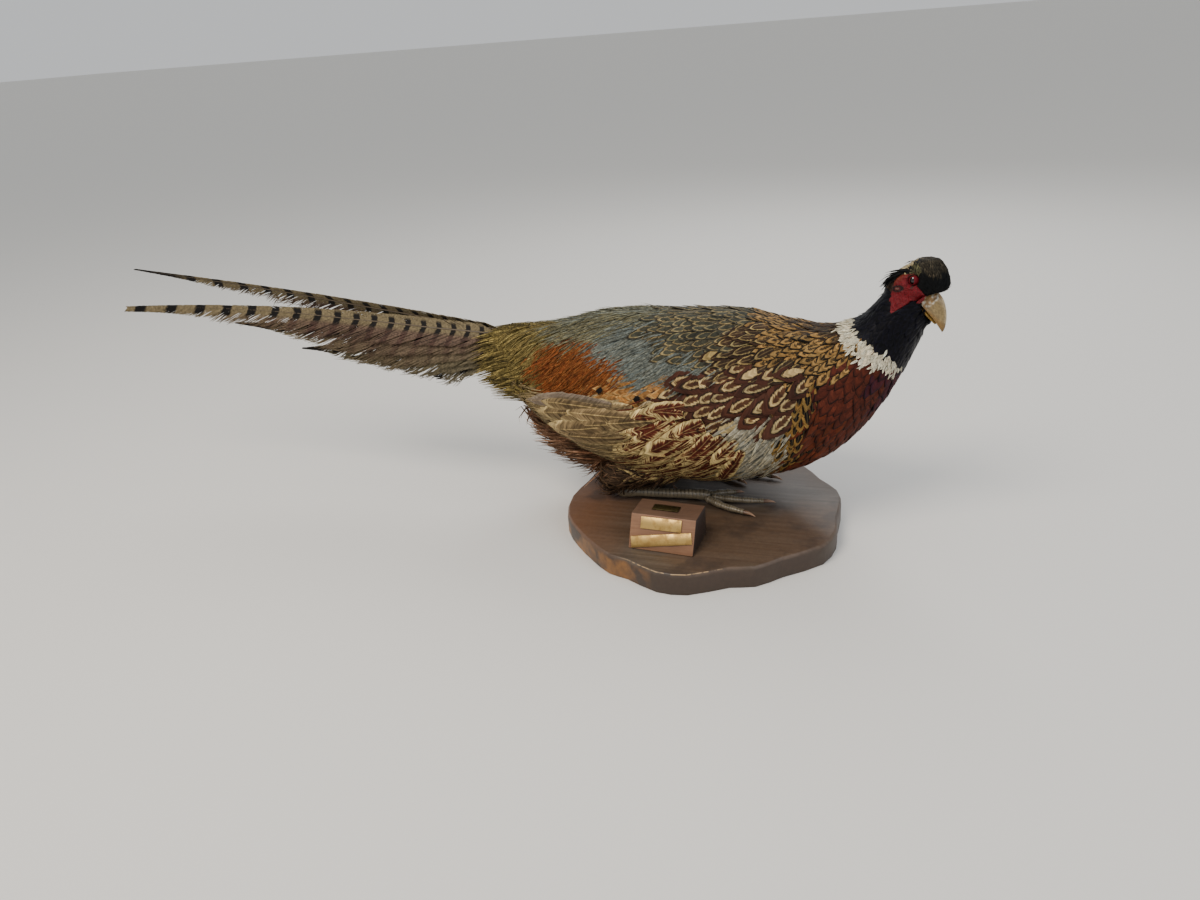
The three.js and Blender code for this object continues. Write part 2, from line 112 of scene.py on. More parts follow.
def spine_frame(t):
    """The spine's middle and its directions ahead, to the right and up, at t."""
    step = 0.05
    ahead = unit(along(SPINE, t + step) - along(SPINE, t - step))
    side = unit(np.cross(ahead, (0, 0, 1)))
    return along(SPINE, t), ahead, side, np.cross(side, ahead)


def locate(points):
    """Each point's place along the spine, and its turn round it: 0 on the back, 90 on the right."""
    stations = np.arange(0, THROAT + 1e-6, 0.05)
    centre, ahead, side, up = spine_frame(stations)
    t = np.empty(len(points))
    turn = np.empty(len(points))
    for start in range(0, len(points), 4000):
        part = slice(start, start + 4000)
        gap = points[part, None] - centre
        k = np.argmin((gap**2).sum(-1), axis=1)
        near = gap[np.arange(len(k)), k]
        pace = np.linalg.norm(along(SPINE, stations[k] + 0.05) - along(SPINE, stations[k]), axis=1) / 0.05
        t[part] = stations[k] + (near * ahead[k]).sum(-1) / pace
        turn[part] = np.degrees(np.arctan2((near * side[k]).sum(-1), (near * up[k]).sum(-1)))
    return t, turn


def in_head(points):
    """Points in the head's own frame: X along the bill, Y to its left, Z to the crown."""
    return (points - HEAD_AT) @ HEAD_TURN


def from_head(points):
    return np.asarray(points) @ HEAD_TURN.T + HEAD_AT


# ---- shared makers


def wire(tree, node, inputs):
    """Sets a node's inputs: sockets are linked to it, and other values are put in."""
    for key, value in inputs.items():
        if isinstance(value, bpy.types.NodeSocket):
            tree.links.new(value, node.inputs[key])
        else:
            node.inputs[key].default_value = value


def add_node(tree, kind, inputs=None, **settings):
    """Adds a node to a tree, with its settings, its values and its links, and gives its outputs."""
    made = tree.nodes.new("ShaderNode" + kind)
    for name, value in settings.items():
        setattr(made, name, value)
    wire(tree, made, inputs or {})
    return made.outputs


def new_material(name):
    """An empty material, with what adds nodes to it and what sets its shader's inputs."""
    made = bpy.data.materials.new(name)
    made.use_nodes = True
    tree = made.node_tree
    tree.nodes.clear()
    shader = tree.nodes.new("ShaderNodeBsdfPrincipled")
    add_node(tree, "OutputMaterial", {"Surface": shader.outputs[0]})
    return made, partial(add_node, tree), partial(wire, tree, shader)


def add_object(name, data):
    made = bpy.data.objects.new(name, data)
    bpy.context.scene.collection.objects.link(made)
    return made


def mesh_object(name, points, quads, material, smooth=True):
    """An object made of four-sided faces."""
    mesh = bpy.data.meshes.new(name)
    points = np.ascontiguousarray(points, np.float32).reshape(-1, 3)
    quads = np.ascontiguousarray(quads, np.int32).reshape(-1, 4)
    mesh.vertices.add(len(points))
    mesh.vertices.foreach_set("co", points.ravel())
    mesh.loops.add(quads.size)
    mesh.loops.foreach_set("vertex_index", quads.ravel())
    mesh.polygons.add(len(quads))
    mesh.polygons.foreach_set("loop_start", np.arange(0, quads.size, 4, dtype=np.int32))
    mesh.update(calc_edges=True)
    mesh.polygons.foreach_set("use_smooth", np.full(len(quads), smooth))
    mesh.materials.append(material)
    return add_object(name, mesh)


def settle(made, slot, *nodes):
    """Puts a piece on the still body, and hides the solids that it stands for. slot is not used."""
    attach(made, "root")
    if nodes:
        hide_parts(*nodes)
    return made


def set_colours(mesh, name, colours):
    layer = mesh.attributes.new(name, "FLOAT_COLOR", "POINT")
    rgba = np.ones((len(colours), 4), np.float32)
    rgba[:, :3] = colours
    layer.data.foreach_set("color", rgba.ravel())


def set_vectors(mesh, name, vectors):
    layer = mesh.attributes.new(name, "FLOAT_VECTOR", "POINT")
    layer.data.foreach_set("vector", np.ascontiguousarray(vectors, np.float32).ravel())


def set_uv(mesh, name, uv):
    """A UV map from one place for each vertex."""
    layer = mesh.uv_layers.new(name=name)
    loops = read(mesh.loops, "vertex_index")[:, 0]
    layer.data.foreach_set("uv", np.ascontiguousarray(uv[loops], np.float32).ravel())


def read(items, key, width=1, kind=np.int32):
    """One property of all of a mesh's items, as rows."""
    values = np.empty(len(items) * width, kind)
    items.foreach_get(key, values)
    return values.reshape(-1, width)


def read_points(items, key="co"):
    return read(items, key, 3, np.float32).astype(float)


def solid_tree(mesh):
    """What finds the nearest places on a mesh."""
    return BVHTree.FromPolygons(
        read_points(mesh.vertices).tolist(), [list(p.vertices) for p in mesh.polygons])


def cad_copy(name, nodes):
    """One object that joins copies of CAD nodes' meshes."""
    points = []
    faces = []
    for node in nodes:
        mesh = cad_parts[node].data
        shift = len(points)
        points += [v.co.copy() for v in mesh.vertices]
        faces += [[shift + i for i in p.vertices] for p in mesh.polygons]
    mesh = bpy.data.meshes.new(name)
    mesh.from_pydata(points, [], faces)
    return add_object(name, mesh)


def applied(made):
    """Applies an object's modifiers to its mesh."""
    shape = made.evaluated_get(bpy.context.evaluated_depsgraph_get())
    mesh = bpy.data.meshes.new_from_object(shape)
    made.modifiers.clear()
    made.data = mesh
    return mesh


# ---- skin

FLESH = [
    "trunk", "neck", "head", "tail_coverts", "vent_feathers",
    "wing_right", "wing_left", "thigh_right", "thigh_left",
]


class Skin:
    """The bird's bare shape, which everything else lies on."""

    def __init__(self, made):
        mesh = made.data
        self.object = made
        self.points = read_points(mesh.vertices)
        mesh.calc_loop_triangles()
        self.corners = read(mesh.loop_triangles, "vertices", 3)
        self.faces = read(mesh.loop_triangles, "polygon_index")[:, 0]
        self.normals = unit(read_points(mesh.vertices, "normal"))
        self.tree = BVHTree.FromPolygons(self.points.tolist(), self.corners.tolist())
        self.nodes = {name: solid_tree(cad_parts[name].data) for name in FLESH}

    def rest(self, points):
        """The nearest points of the skin, and its smooth normals there."""
        flat = points.reshape(-1, 3)
        found = np.empty_like(flat)
        face = np.empty(len(flat), np.int64)
        for i, p in enumerate(flat):
            at, _, index, _ = self.tree.find_nearest(Vector(p))
            found[i] = at
            face[i] = index
        corner = self.corners[face]
        weight = 1 / (np.linalg.norm(self.points[corner] - found[:, None], axis=-1) + 1e-5)
        normal = unit((self.normals[corner] * weight[..., None]).sum(1))
        return found.reshape(points.shape), normal.reshape(points.shape)

    def owners(self, points):
        """The CAD node that each point lies on."""
        names = list(self.nodes)
        far = np.array([[self.nodes[n].find_nearest(Vector(p))[3] for n in names] for p in points])
        return np.array(names)[far.argmin(1)]


FILL_ROUNDS = 8  # how often the skin's loss of volume is evened out before it is given back


def coat_depth(points):
    """How far the skin lies inside the solids: least on the head, where feathers are shortest."""
    reach = np.linalg.norm(in_head(points), axis=1)
    return MM * (0.9 + 1.5 * ramp(30 * MM, 90 * MM, reach))


def make_skin(material):
    """Joins the solids of flesh, smooths the seams away, and then fills the skin out again to the
    solids' own outline, less the coat's depth."""
    made = cad_copy("skin", FLESH)
    remesh = made.modifiers.new("Remesh", "REMESH")
    remesh.mode = "VOXEL"
    remesh.voxel_size = bpy.context.scene.pheasant_sizes.voxel
    mesh = applied(made)
    solid = solid_tree(mesh)
    relax = made.modifiers.new("Smooth", "SMOOTH")
    relax.iterations = 14
    relax.factor = 0.5
    mesh = applied(made)
    points = read_points(mesh.vertices)
    normals = read_points(mesh.vertices, "normal")
    shrunk = np.array([
        (solid.find_nearest(Vector(p))[0] - Vector(p)).dot(Vector(n)) for p, n in zip(points, normals)])
    a, b = read(mesh.edges, "vertices", 2).T
    count = np.bincount(a, minlength=len(points)) + np.bincount(b, minlength=len(points))
    for _ in range(FILL_ROUNDS):
        near = np.bincount(a, shrunk[b], len(points)) + np.bincount(b, shrunk[a], len(points))
        shrunk = 0.5 * shrunk + 0.5 * near / count
    points += normals * (shrunk - coat_depth(points))[:, None]
    mesh.vertices.foreach_set("co", points.ravel().astype(np.float32))
    mesh.polygons.foreach_set("use_smooth", np.full(len(mesh.polygons), True))
    mesh.update()
    mesh.materials.append(material)
    return made


def flow_axes(points):
    """For each point: the ways to the tail, to the belly and away from the bill, and how much the
    last of these counts."""
    t, turn = locate(points)
    _, ahead, side, up = spine_frame(np.clip(t, 0, THROAT))
    a = np.radians(turn)[:, None]
    down = side * np.cos(a) - up * np.sin(a)
    down *= np.where(turn < 0, -1, 1)[:, None]
    head = in_head(points)
    from_bill = (head - MM * np.array((17, 0, -2))) @ HEAD_TURN.T
    return -ahead, down, unit(from_bill), ramp(-34 * MM, -14 * MM, head[:, 2:])


def flow(axes, normals, tilt):
    """The way that feathers lie: from the bill over the head, and along the body to the tail.
    tilt turns them from the tail towards the belly, in degrees."""
    back, down, from_bill, share = axes
    lean = np.radians(tilt)[:, None]
    body = back * np.cos(lean) + down * np.sin(lean)
    way = unit(body) * (1 - share) + from_bill * share
    return unit(way - normals * dot(way, normals))


def unwrap(points):
    """Each point's place on the skin's own unwrap: the body's tube, then the head's."""
    t, turn = locate(points)
    head = in_head(points)
    on_head = head[:, 2] > -24 * MM
    spin = np.degrees(np.arctan2(head[:, 1], head[:, 2]))
    across = np.where(
        on_head, 0.87 + 0.12 * ramp(-30 * MM, 18 * MM, head[:, 0]), 0.02 + 0.83 * t / (THROAT + 0.5))
    return np.stack([across, 0.02 + 0.96 * (np.where(on_head, spin, turn) + 180) / 360], 1)


# ---- feathers


def blue_noise(points, spacing):
    """Picks points that are no closer together than spacing."""
    tree = KDTree(len(points))
    for i, p in enumerate(points):
        tree.insert(Vector(p), i)
    tree.balance()
    free = np.ones(len(points), bool)
    kept = []
    for i, p in enumerate(points):
        if free[i]:
            kept.append(i)
            for _, j, _ in tree.find_range(Vector(p), spacing):
                free[j] = False
    return np.array(kept, int)


def scatter(skin, where, spacing, rng):
    """Random places on some of the skin's triangles, no closer together than spacing."""
    corner = skin.points[skin.corners[where]]
    area = np.linalg.norm(np.cross(corner[:, 1] - corner[:, 0], corner[:, 2] - corner[:, 0]), axis=1) / 2
    count = int(area.sum() / spacing**2 * 6)
    face = rng.choice(len(area), count, p=area / area.sum())
    a, b = rng.random((2, count, 1))
    flip = a + b > 1
    a = np.where(flip, 1 - a, a)
    b = np.where(flip, 1 - b, b)
    weights = np.stack([1 - a - b, a, b], 1)
    points = (corner[face] * weights).sum(1)
    return points[blue_noise(points, spacing)]


def lay_lines(skin, roots, ways, lengths, steps):
    """Lines that run from roots over the skin: points, normals and directions at each of steps."""
    point, normal = skin.rest(roots)
    way = unit(ways - normal * dot(ways, normal))
    found = [(point, normal, way)]
    for low, high in zip(steps[:-1], steps[1:]):
        ahead, normal = skin.rest(point + way * (lengths * (high - low))[:, None])
        way = ahead - point
        way = unit(way - normal * dot(way, normal))
        point = ahead
        found.append((point, normal, way))
    return [np.stack(part, 1) for part in zip(*found)]


def fly_lines(roots, normals, ways, lengths, steps, droop):
    """Lines that leave the skin and sink by droop of their length."""
    reach = lengths[:, None] * steps
    line = roots[:, None] + ways[:, None] * reach[..., None]
    line[..., 2] -= droop * lengths[:, None] * steps**2
    way = unit(np.gradient(line, axis=1))
    normal = np.broadcast_to(normals[:, None], line.shape)
    return line, unit(normal - way * dot(way, normal)), way


def round_vane(v):
    """How wide a rounded body feather is along its length."""
    return np.clip(np.sin(np.pi * np.clip(v * 0.93 + 0.07, 0, 1) ** 0.85), 0.04, 1) ** 0.55


def strand_vane(v):
    return np.clip(1 - v**2.5, 0.12, 1)


STRANDS = dict(columns=2, shape=strand_vane, camber=0.5, fray=0)  # what makes vanes into loose hairs


VANE_THICK = 0.06  # millimetres
CROWDING = 1.3  # how much closer the rows of a vane lie towards its tip
TIP_BOW = 0.35  # how far the edges of a vane's tip lag behind its shaft, as a share of its width


def vanes(
        name, skin, roots, ways, lengths, widths, rng, material, rows=8, columns=6, shape=round_vane,
        lift=0.075, base=0.25, camber=0.16, fray=0.05, colours=None, bands=(0.6, 0.9, 0),
        marks=(0, 0.35, 0.5), layer=0.0, droop=None):
    """Feathers as one mesh of closed, thin blades. Each lies from its root along its way, rising over
    its neighbours behind by lift of its length, and falls away from its shaft by camber of its width.
    Feathers with a droop leave the skin."""
    count = len(roots)
    steps = 1 - (1 - np.linspace(0, 1, rows + 1)) ** CROWDING
    half = shape(steps)[None, :] * widths[:, None] / 2
    dips = [np.zeros(half.shape)] * 2
    if droop is None:
        line, normal, way = lay_lines(skin, roots, ways, lengths, steps)
    else:
        line, normal, way = fly_lines(roots, skin.rest(roots)[1], ways, lengths, steps, droop)
    side = unit(np.cross(normal, way))
    if droop is None:
        dips = [
            dot(skin.rest(line + sign * side * half[..., None])[0] - line, normal)[..., 0]
            for sign in (-1, 1)]
    across = np.linspace(-1, 1, columns + 1)
    u = across[None, None, :]
    drop = np.where(u < 0, dips[0][..., None], dips[1][..., None]) * u**2
    roll = rng.normal(0, 0.05, (count, 1, 1)) * u * half[..., None]
    rise = lift * lengths * np.exp(rng.normal(0, 0.35, count))
    height = base * MM + np.broadcast_to(layer, count)[:, None] + rise[:, None] * steps
    height = height[..., None] + (1 - u**2) * half[..., None] * camber + roll
    torn = 1 + rng.normal(0, fray, (count, rows + 1, columns + 1)) * np.abs(u)
    grid = (
        line[:, :, None]
        + side[:, :, None] * (u * half[..., None] * torn)[..., None]
        + normal[:, :, None] * (height + drop)[..., None]
    )
    tip = rng.normal(0, fray * 0.5, (count, 1, columns + 1)) * (steps[None, :, None] ** 3)
    bow = -(u**2) * (steps[None, :, None] ** 2) * TIP_BOW * half[..., None]
    grid += way[:, :, None] * (tip * lengths[:, None, None] + bow)[..., None]
    under = grid[:, :, [0, -1]] - normal[:, :, None] * VANE_THICK * MM
    points = np.concatenate([grid.reshape(count, -1, 3), under.reshape(count, -1, 3)], 1)
    wide = columns + 1
    tall = rows + 1
    r, c = np.meshgrid(np.arange(rows), np.arange(columns), indexing="ij")
    top = np.stack(
        [r * wide + c, r * wide + c + 1, (r + 1) * wide + c + 1, (r + 1) * wide + c], -1).reshape(-1, 4)
    k = tall * wide + 2 * np.arange(rows)
    low = np.stack([k, k + 2, k + 3, k + 1], -1)
    each = np.concatenate([top, low])
    quads = each[None] + (np.arange(count) * points.shape[1])[:, None, None]
    made = mesh_object(name, points, quads, material)
    mesh = made.data
    radius = np.sqrt(u**2 + (np.clip(steps - 0.5, 0, 1) * 2)[None, :, None] ** 2)
    barb = steps[None, :, None] * lengths[:, None, None] + np.abs(u) * half[..., None] * 0.8
    luck = rng.random((count, 1, 1))
    shaft = u * half[..., None]
    full = (count, tall, wide)

    def fill(values):
        values = np.broadcast_to(values, full)
        return np.concatenate(
            [values.reshape(count, -1), values[:, :, [0, -1]].reshape(count, -1)], 1).ravel()

    set_vectors(mesh, "vane", np.stack([fill(radius), fill(barb) / MM, fill(luck)], 1))
    set_vectors(mesh, "blade", np.stack([fill(shaft) / MM, fill(steps[None, :, None]), fill(luck)], 1))
    repeat = points.shape[1]
    for key, values in colours.items():
        set_colours(mesh, key, np.repeat(np.broadcast_to(values, (count, 3)), repeat, 0))
    for key, values in (("bands", bands), ("marks", marks)):
        set_vectors(mesh, key, np.repeat(np.broadcast_to(values, (count, 3)), repeat, 0))
    patch = 3 * MM
    home = unwrap(roots)
    set_uv(mesh, "OFBake", np.stack([
        np.repeat(home[:, 0], repeat) + fill(u) * patch / 2,
        np.repeat(home[:, 1], repeat) + (fill(steps[None, :, None]) - 0.5) * patch,
    ], 1))
    return made


def feather_material(name, roughness=0.7, metallic=0.0):
    """Keratin vanes: barbs that run out from the shaft and towards the tip, drawn 1 to 2 mm wide where
    real ones are 0.4 mm, so that they show. The heart, ring and rim colours are each feather's own."""
    made, node, shade = new_material(name)
    parts = {}
    for key in ("vane", "blade", "bands", "marks"):
        vector = node("Attribute", attribute_name=key)["Vector"]
        parts[key] = node("SeparateXYZ", {0: vector})
    radius, along_barb, luck = parts["vane"]
    shaft = parts["blade"][0]
    ring_at, rim_at, quill_share = parts["bands"]
    outline_share, raggedness, mottling = parts["marks"]
    seed = node("Math", {0: luck, 1: 90.0}, operation="MULTIPLY")[0]
    aside = node("Math", {0: shaft, 1: 0.2}, operation="MULTIPLY")[0]
    place = node("CombineXYZ", {0: along_barb, 1: aside, 2: seed})[0]
    barbs = node("TexNoise", {"Vector": place, "Scale": 0.55, "Detail": 4.0, "Roughness": 0.65})[0]
    blots = node("TexNoise", {"Vector": place, "Scale": 0.22, "Detail": 3.0})[0]
    torn = node("Math", {0: barbs, 1: 0.5}, operation="SUBTRACT")[0]
    torn = node("Math", {0: torn, 1: raggedness}, operation="MULTIPLY")[0]
    edge = node("Math", {0: torn, 1: 2.0, 2: radius}, operation="MULTIPLY_ADD")[0]
    colour = node("Attribute", attribute_name="heart")["Color"]
    for limit, key in ((ring_at, "ring"), (rim_at, "rim")):
        paint = node("Attribute", attribute_name=key)["Color"]
        past = node("Math", {0: edge, 1: limit}, operation="SUBTRACT")[0]
        share = node("MapRange", {"Value": past, "From Min": -0.07, "From Max": 0.07})[0]
        colour = node("Mix", {0: share, 6: colour, 7: paint}, data_type="RGBA")[2]
    gap = node("Math", {0: edge, 1: rim_at}, operation="SUBTRACT")[0]
    gap = node("Math", {0: gap, 1: 0.06, 2: 0.08}, operation="COMPARE")[0]
    outline = node("Math", {0: gap, 1: outline_share}, operation="MULTIPLY")[0]
    off = node("Math", {0: shaft}, operation="ABSOLUTE")[0]
    quill = node("MapRange", {"Value": off, "From Min": 0.55, "From Max": 0.2})[0]
    quill = node("Math", {0: quill, 1: quill_share}, operation="MULTIPLY")[0]
    for share, code in ((outline, "#0c0907"), (quill, "#a8905f")):
        colour = node("Mix", {0: share, 6: colour, 7: rgba(code)}, data_type="RGBA")[2]
    spread = {"Value": barbs, "From Min": 0.25, "From Max": 0.75, "To Min": 0.5, "To Max": 1.5}
    light = node("MapRange", spread)[0]
    uneven = node("Math", {0: blots, 1: 0.5}, operation="SUBTRACT")[0]
    uneven = node("Math", {0: uneven, 1: mottling}, operation="MULTIPLY")[0]
    uneven = node("Math", {0: uneven, 1: 3.0, 2: 1.0}, operation="MULTIPLY_ADD")[0]
    own = node("MapRange", {"Value": luck, "To Min": 0.82, "To Max": 1.18})[0]
    for factor in (uneven, own):
        light = node("Math", {0: light, 1: factor}, operation="MULTIPLY")[0]
    light = node("Math", {0: light, 1: 0.12}, operation="MAXIMUM")[0]
    tone = node("VectorMath", {0: colour, "Scale": light}, operation="SCALE")[0]
    bump = node("Bump", {"Height": barbs, "Strength": 0.5, "Distance": 0.4 * MM})[0]
    shade({
        "Base Color": tone, "Normal": bump, "Roughness": roughness, "Metallic": metallic,
        "Specular IOR Level": 0.12,
    })
    return made


# ---- plumage


@dataclass
class Tract:
    """A tract of feathers that look alike. Their colours run from the middle outwards."""

    heart: str
    ring: str
    rim: str
    bands: tuple  # where the ring and the rim begin, and how pale the shaft is
    gap: float  # from one feather to the next, in millimetres
    long: float
    wide: float
    places: tuple = ()  # stations along the spine, and degrees from the back
    lean: float = 0.0  # degrees that they turn towards the belly
    marks: tuple = (0.0, 0.35, 0.5)  # how dark the outline is, how ragged the bands, and how mottled
    reach: float = 0.6  # the share of a feather that has to fall inside the tract
    filled: float = 0.0  # the share of feathers whose heart has the ring's colour


TRACTS = {
    "collar": Tract("#8f8b7d", "#b3ab94", "#c6bea5", (0.2, 0.6, 0), 1.3, 6.5, 2.0),
    "neck": Tract("#08080b", "#0a090f", "#0d0d16", (0.3, 0.7, 0), 2.6, 9, 5),
    "nape_edge": Tract("#1b130e", "#281b13", "#3f2e1d", (0.5, 0.85, 0.2), 5, 15, 7,
        [(9.6, 0), (9.7, 22), (9.75, 40), (9.0, 5), (8.6, 3)]),
    "mantle": Tract("#2a1d10", "#826438", "#120d08", (0.28, 0.76, 0.1), 5, 18, 9,
        [(7.3, 10), (7.3, 30), (8.0, 20), (8.0, 45), (8.6, 35), (9.2, 50), (9.3, 66), (8.2, 62), (8.8, 66),
         (7.75, 70), (7.2, 42), (6.9, 12)], lean=12, marks=(0.0, 0.5, 0.9)),
    "breast": Tract("#4a2014", "#3d1b12", "#1a0d0b", (0.6, 0.95, 0), 4.6, 17, 9,
        [(8.6, 88), (9.3, 95), (8.3, 100), (8.0, 112), (8.8, 120), (9.2, 135), (8.5, 145), (8.6, 170),
         (9.6, 105)], lean=18, marks=(0.35, 0.25, 0.4)),
    "breast_front": Tract("#3c171b", "#30141d", "#140a10", (0.6, 0.95, 0), 4.6, 16, 9,
        [(9.8, 125), (9.7, 150), (9.5, 172), (9.9, 180), (9.2, 180)], marks=(0.35, 0.25, 0.4)),
    "breast_low": Tract("#532411", "#45200f", "#20100b", (0.6, 0.95, 0), 5.2, 19, 10,
        [(7.45, 130), (7.3, 150), (7.6, 170), (7.75, 112), (7.0, 160), (7.0, 178)], lean=14,
        marks=(0.4, 0.25, 0.4)),
    "shoulder": Tract("#060403", "#74572a", "#7a5e30", (0.5, 0.95, 0.1), 5.5, 17, 10,
        [(7.9, 80), (7.65, 90), (7.4, 102), (7.15, 115), (7.0, 128), (6.95, 140)], lean=60,
        marks=(0.5, 0.3, 0.5)),
    "scapular": Tract("#32251a", "#8c784c", "#2e1f15", (0.5, 0.66, 0.2), 8, 25, 13,
        [(6.1, 45), (6.5, 50), (7.0, 56), (7.4, 62), (6.3, 35), (6.7, 40), (6.6, 30)], lean=16,
        marks=(0.9, 0.25, 0.6), filled=0.08),
    "wing_covert": Tract("#41291a", "#a28c60", "#3c2218", (0.26, 0.46, 0), 10.5, 29, 18,
        [(5.1, 76), (5.6, 68), (6.2, 66), (6.8, 68), (7.25, 76), (5.5, 84), (6.1, 82), (6.6, 86), (7.0, 93),
         (6.8, 100), (5.8, 90)], lean=20, marks=(0.75, 0.3, 0.6), reach=0.75, filled=0.06),
    "grey_covert": Tract("#6e6f68", "#858376", "#a0987e", (0.5, 0.9, 0.3), 3.4, 30, 3.4,
        [(5.9, 100), (6.5, 103), (6.8, 110), (6.2, 120), (6.5, 134), (6.0, 150), (6.0, 112), (6.7, 124)],
        lean=35, marks=(0, 0.5, 1.0)),
    "flight_cover": Tract("#492316", "#5f3c26", "#9b8355", (0.45, 0.7, 0.3), 9, 30, 9,
        [(5.2, 100), (4.6, 110), (4.9, 130), (5.4, 140), (4.3, 136), (5.5, 115)], lean=30,
        marks=(0, 0.6, 0.8)),
    "tertial_cover": Tract("#5e4e38", "#786749", "#938264", (0.5, 0.8, 0.3), 10, 34, 13,
        [(4.9, 88), (4.4, 90), (3.8, 98), (3.2, 110), (2.85, 114), (3.6, 125), (3.0, 128)], lean=8,
        marks=(0, 0.5, 1.0)),
    "spot_patch": Tract("#76512a", "#8c6030", "#8f6e42", (0.5, 0.8, 0.1), 4.5, 20, 7,
        [(3.75, 79), (4.4, 79), (4.8, 71), (4.15, 73)], lean=10, marks=(0, 0.4, 1.0)),
    "lower_back": Tract("#35352b", "#786a48", "#3b3930", (0.55, 0.78, 0), 6.2, 18, 9,
        [(4.7, 10), (5.3, 20), (5.7, 35), (5.1, 36), (5.9, 20), (4.8, 25), (6.2, 10), (5.7, 44)], lean=16,
        marks=(0.7, 0.3, 0.7)),
    "saddle": Tract("#545a56", "#5b5e57", "#696b60", (0.6, 0.9, 0), 1.95, 24, 1.8,
        [(4.0, 30), (4.3, 42), (4.6, 50), (5.0, 54), (5.4, 57), (4.2, 56), (3.7, 42), (4.5, 62),
         (4.95, 60)], lean=32, marks=(0, 0.5, 1.2)),
    "rump": Tract("#5c5f55", "#585540", "#70694c", (0.6, 0.9, 0), 1.85, 30, 1.6,
        [(2.2, 5), (2.8, 18), (3.2, 26), (2.0, 22), (3.3, 8), (2.4, 34), (4.0, 8)], lean=30,
        marks=(0, 0.5, 1.2)),
    "rump_side": Tract("#613012", "#683818", "#754823", (0.6, 0.9, 0), 1.75, 28, 1.6,
        [(2.93, 49), (2.6, 55), (3.43, 59), (3.85, 63), (2.2, 60), (1.95, 84), (3.65, 72), (3.2, 80),
         (2.58, 89), (2.88, 70)], lean=50, marks=(0, 0.4, 1.0)),
    "tail_cover": Tract("#4a4020", "#62552d", "#7c6c40", (0.6, 0.9, 0), 1.9, 36, 1.6,
        [(0.9, 20), (1.3, 60), (1.3, 100), (0.8, 140), (1.6, 74), (1.2, 10), (1.7, 46), (0.3, 90),
         (1.6, 98)], lean=38, marks=(0, 0.5, 1.2)),
    "belly": Tract("#17100d", "#1d1410", "#281d16", (0.6, 0.9, 0), 8, 22, 12,
        [(3, 178), (4, 170), (5, 168), (6, 165), (4.5, 155), (6.2, 178)]),
    "vent": Tract("#5a3d2b", "#6d4d38", "#84664e", (0.6, 0.9, 0), 2.5, 25, 2.6),
    "thigh": Tract("#2c2118", "#403022", "#5c4733", (0.6, 0.9, 0), 2.4, 19, 2.4),
    "crown": Tract("#18150f", "#231f17", "#3b352a", (0.5, 0.9, 0), 1.3, 6, 1.8),
    "olive_brow": Tract("#12140b", "#262a18", "#4c4833", (0.4, 0.7, 0), 1.3, 5.5, 1.8),
    "brow": Tract("#7a6c4c", "#8f8160", "#a59676", (0.5, 0.9, 0), 1.2, 6, 1.8),
    "side_neck": Tract("#342a22", "#44382d", "#5a4d3e", (0.5, 0.9, 0), 1.4, 6, 2.0),
    "bare": Tract("#4a0a12", "#4a0a12", "#4a0a12", (0.5, 0.9, 0), 50, 1, 1),
    "face": Tract("#050506", "#060708", "#08090a", (0.5, 0.9, 0), 1.3, 5, 2.0),
}
TRACT_NAMES = list(TRACTS)
# The outline of the red bare skin in the head's frame, from the side, in millimetres.
WATTLE = [
    (-16, 2.4), (-18, -3), (-17.1, -8.6), (-12.5, -15.5), (-9.4, -21.5), (-3.5, -23.5),
    (2.9, -26.5), (4, -19), (5, -13), (5.2, -7.8), (8, -6.6), (10.4, -4.2), (10, 0.6), (6.4, 3.8),
    (1.5, 4.2), (-3, 4.6), (-7.5, 6.6), (-11.2, 5.6),
]
TRACT_PLACES = np.array([(t, a, i) for i, tract in enumerate(TRACTS.values()) for t, a in tract.places])
PACE = 30.0  # millimetres from one station of the spine to the next, on average
GIRTH = 1.15  # millimetres for a degree round the body
SHORT = 8  # millimetres: shorter feathers are rooted where their tips are


def tract_value(index, key):
    return np.array([getattr(t, key) for t in TRACTS.values()])[index]


def tract_colour(index, key):
    return np.array([linear(getattr(t, key)) for t in TRACTS.values()])[index]


def tracts_at(points, owners, rng, stray):
    """The tract of each point, from the solid that it lies on. Their edges stray by some millimetres."""
    t, turn = locate(points)
    a = np.abs(turn)
    t = t + rng.normal(0, stray / PACE, len(t))
    a = a + rng.normal(0, stray / GIRTH, len(t))
    gap = np.stack(
        [(t[:, None] - TRACT_PLACES[:, 0]) * PACE, (a[:, None] - TRACT_PLACES[:, 1]) * GIRTH], -1)
    index = TRACT_PLACES[(gap**2).sum(-1).argmin(1), 2].astype(int)

    def put(name, where):
        index[where] = TRACT_NAMES.index(name)

    collar_low = 10.03 + 0.3 * ramp(80, 130, a)
    collar_high = 10.56 - 0.2 * ramp(110, 150, a)
    put("neck", t > collar_low)
    put("collar", (t > collar_low) & (t < collar_high) & (a < 152))
    head = in_head(points)
    on_head = (owners == "head") & (head[:, 2] > -21 * MM)
    put("face", on_head)
    high = head[:, 2] / MM - 0.25 * np.abs(head[:, 0] / MM + 4)
    put("crown", on_head & (high > 12) & (head[:, 0] < 6 * MM))
    x = head[:, 0] / MM
    z = head[:, 2] / MM
    put("olive_brow", on_head & (np.hypot((x + 10) / 6, (z - 10) / 3.6) < 1))
    put("brow", on_head & (np.hypot((x + 18.2) / 3.6, (z - 5) / 7.5) < 1))
    put("side_neck", on_head & (x > -22) & (x < -9) & (z > -24) & (z < -3) & (np.abs(head[:, 1]) > 6 * MM))
    put("bare", (np.abs(head[:, 1]) > 5 * MM) & inside(WATTLE, x, z))
    put("vent", owners == "vent_feathers")
    put("thigh", np.isin(owners, ("thigh_right", "thigh_left")))
    return index, t, turn


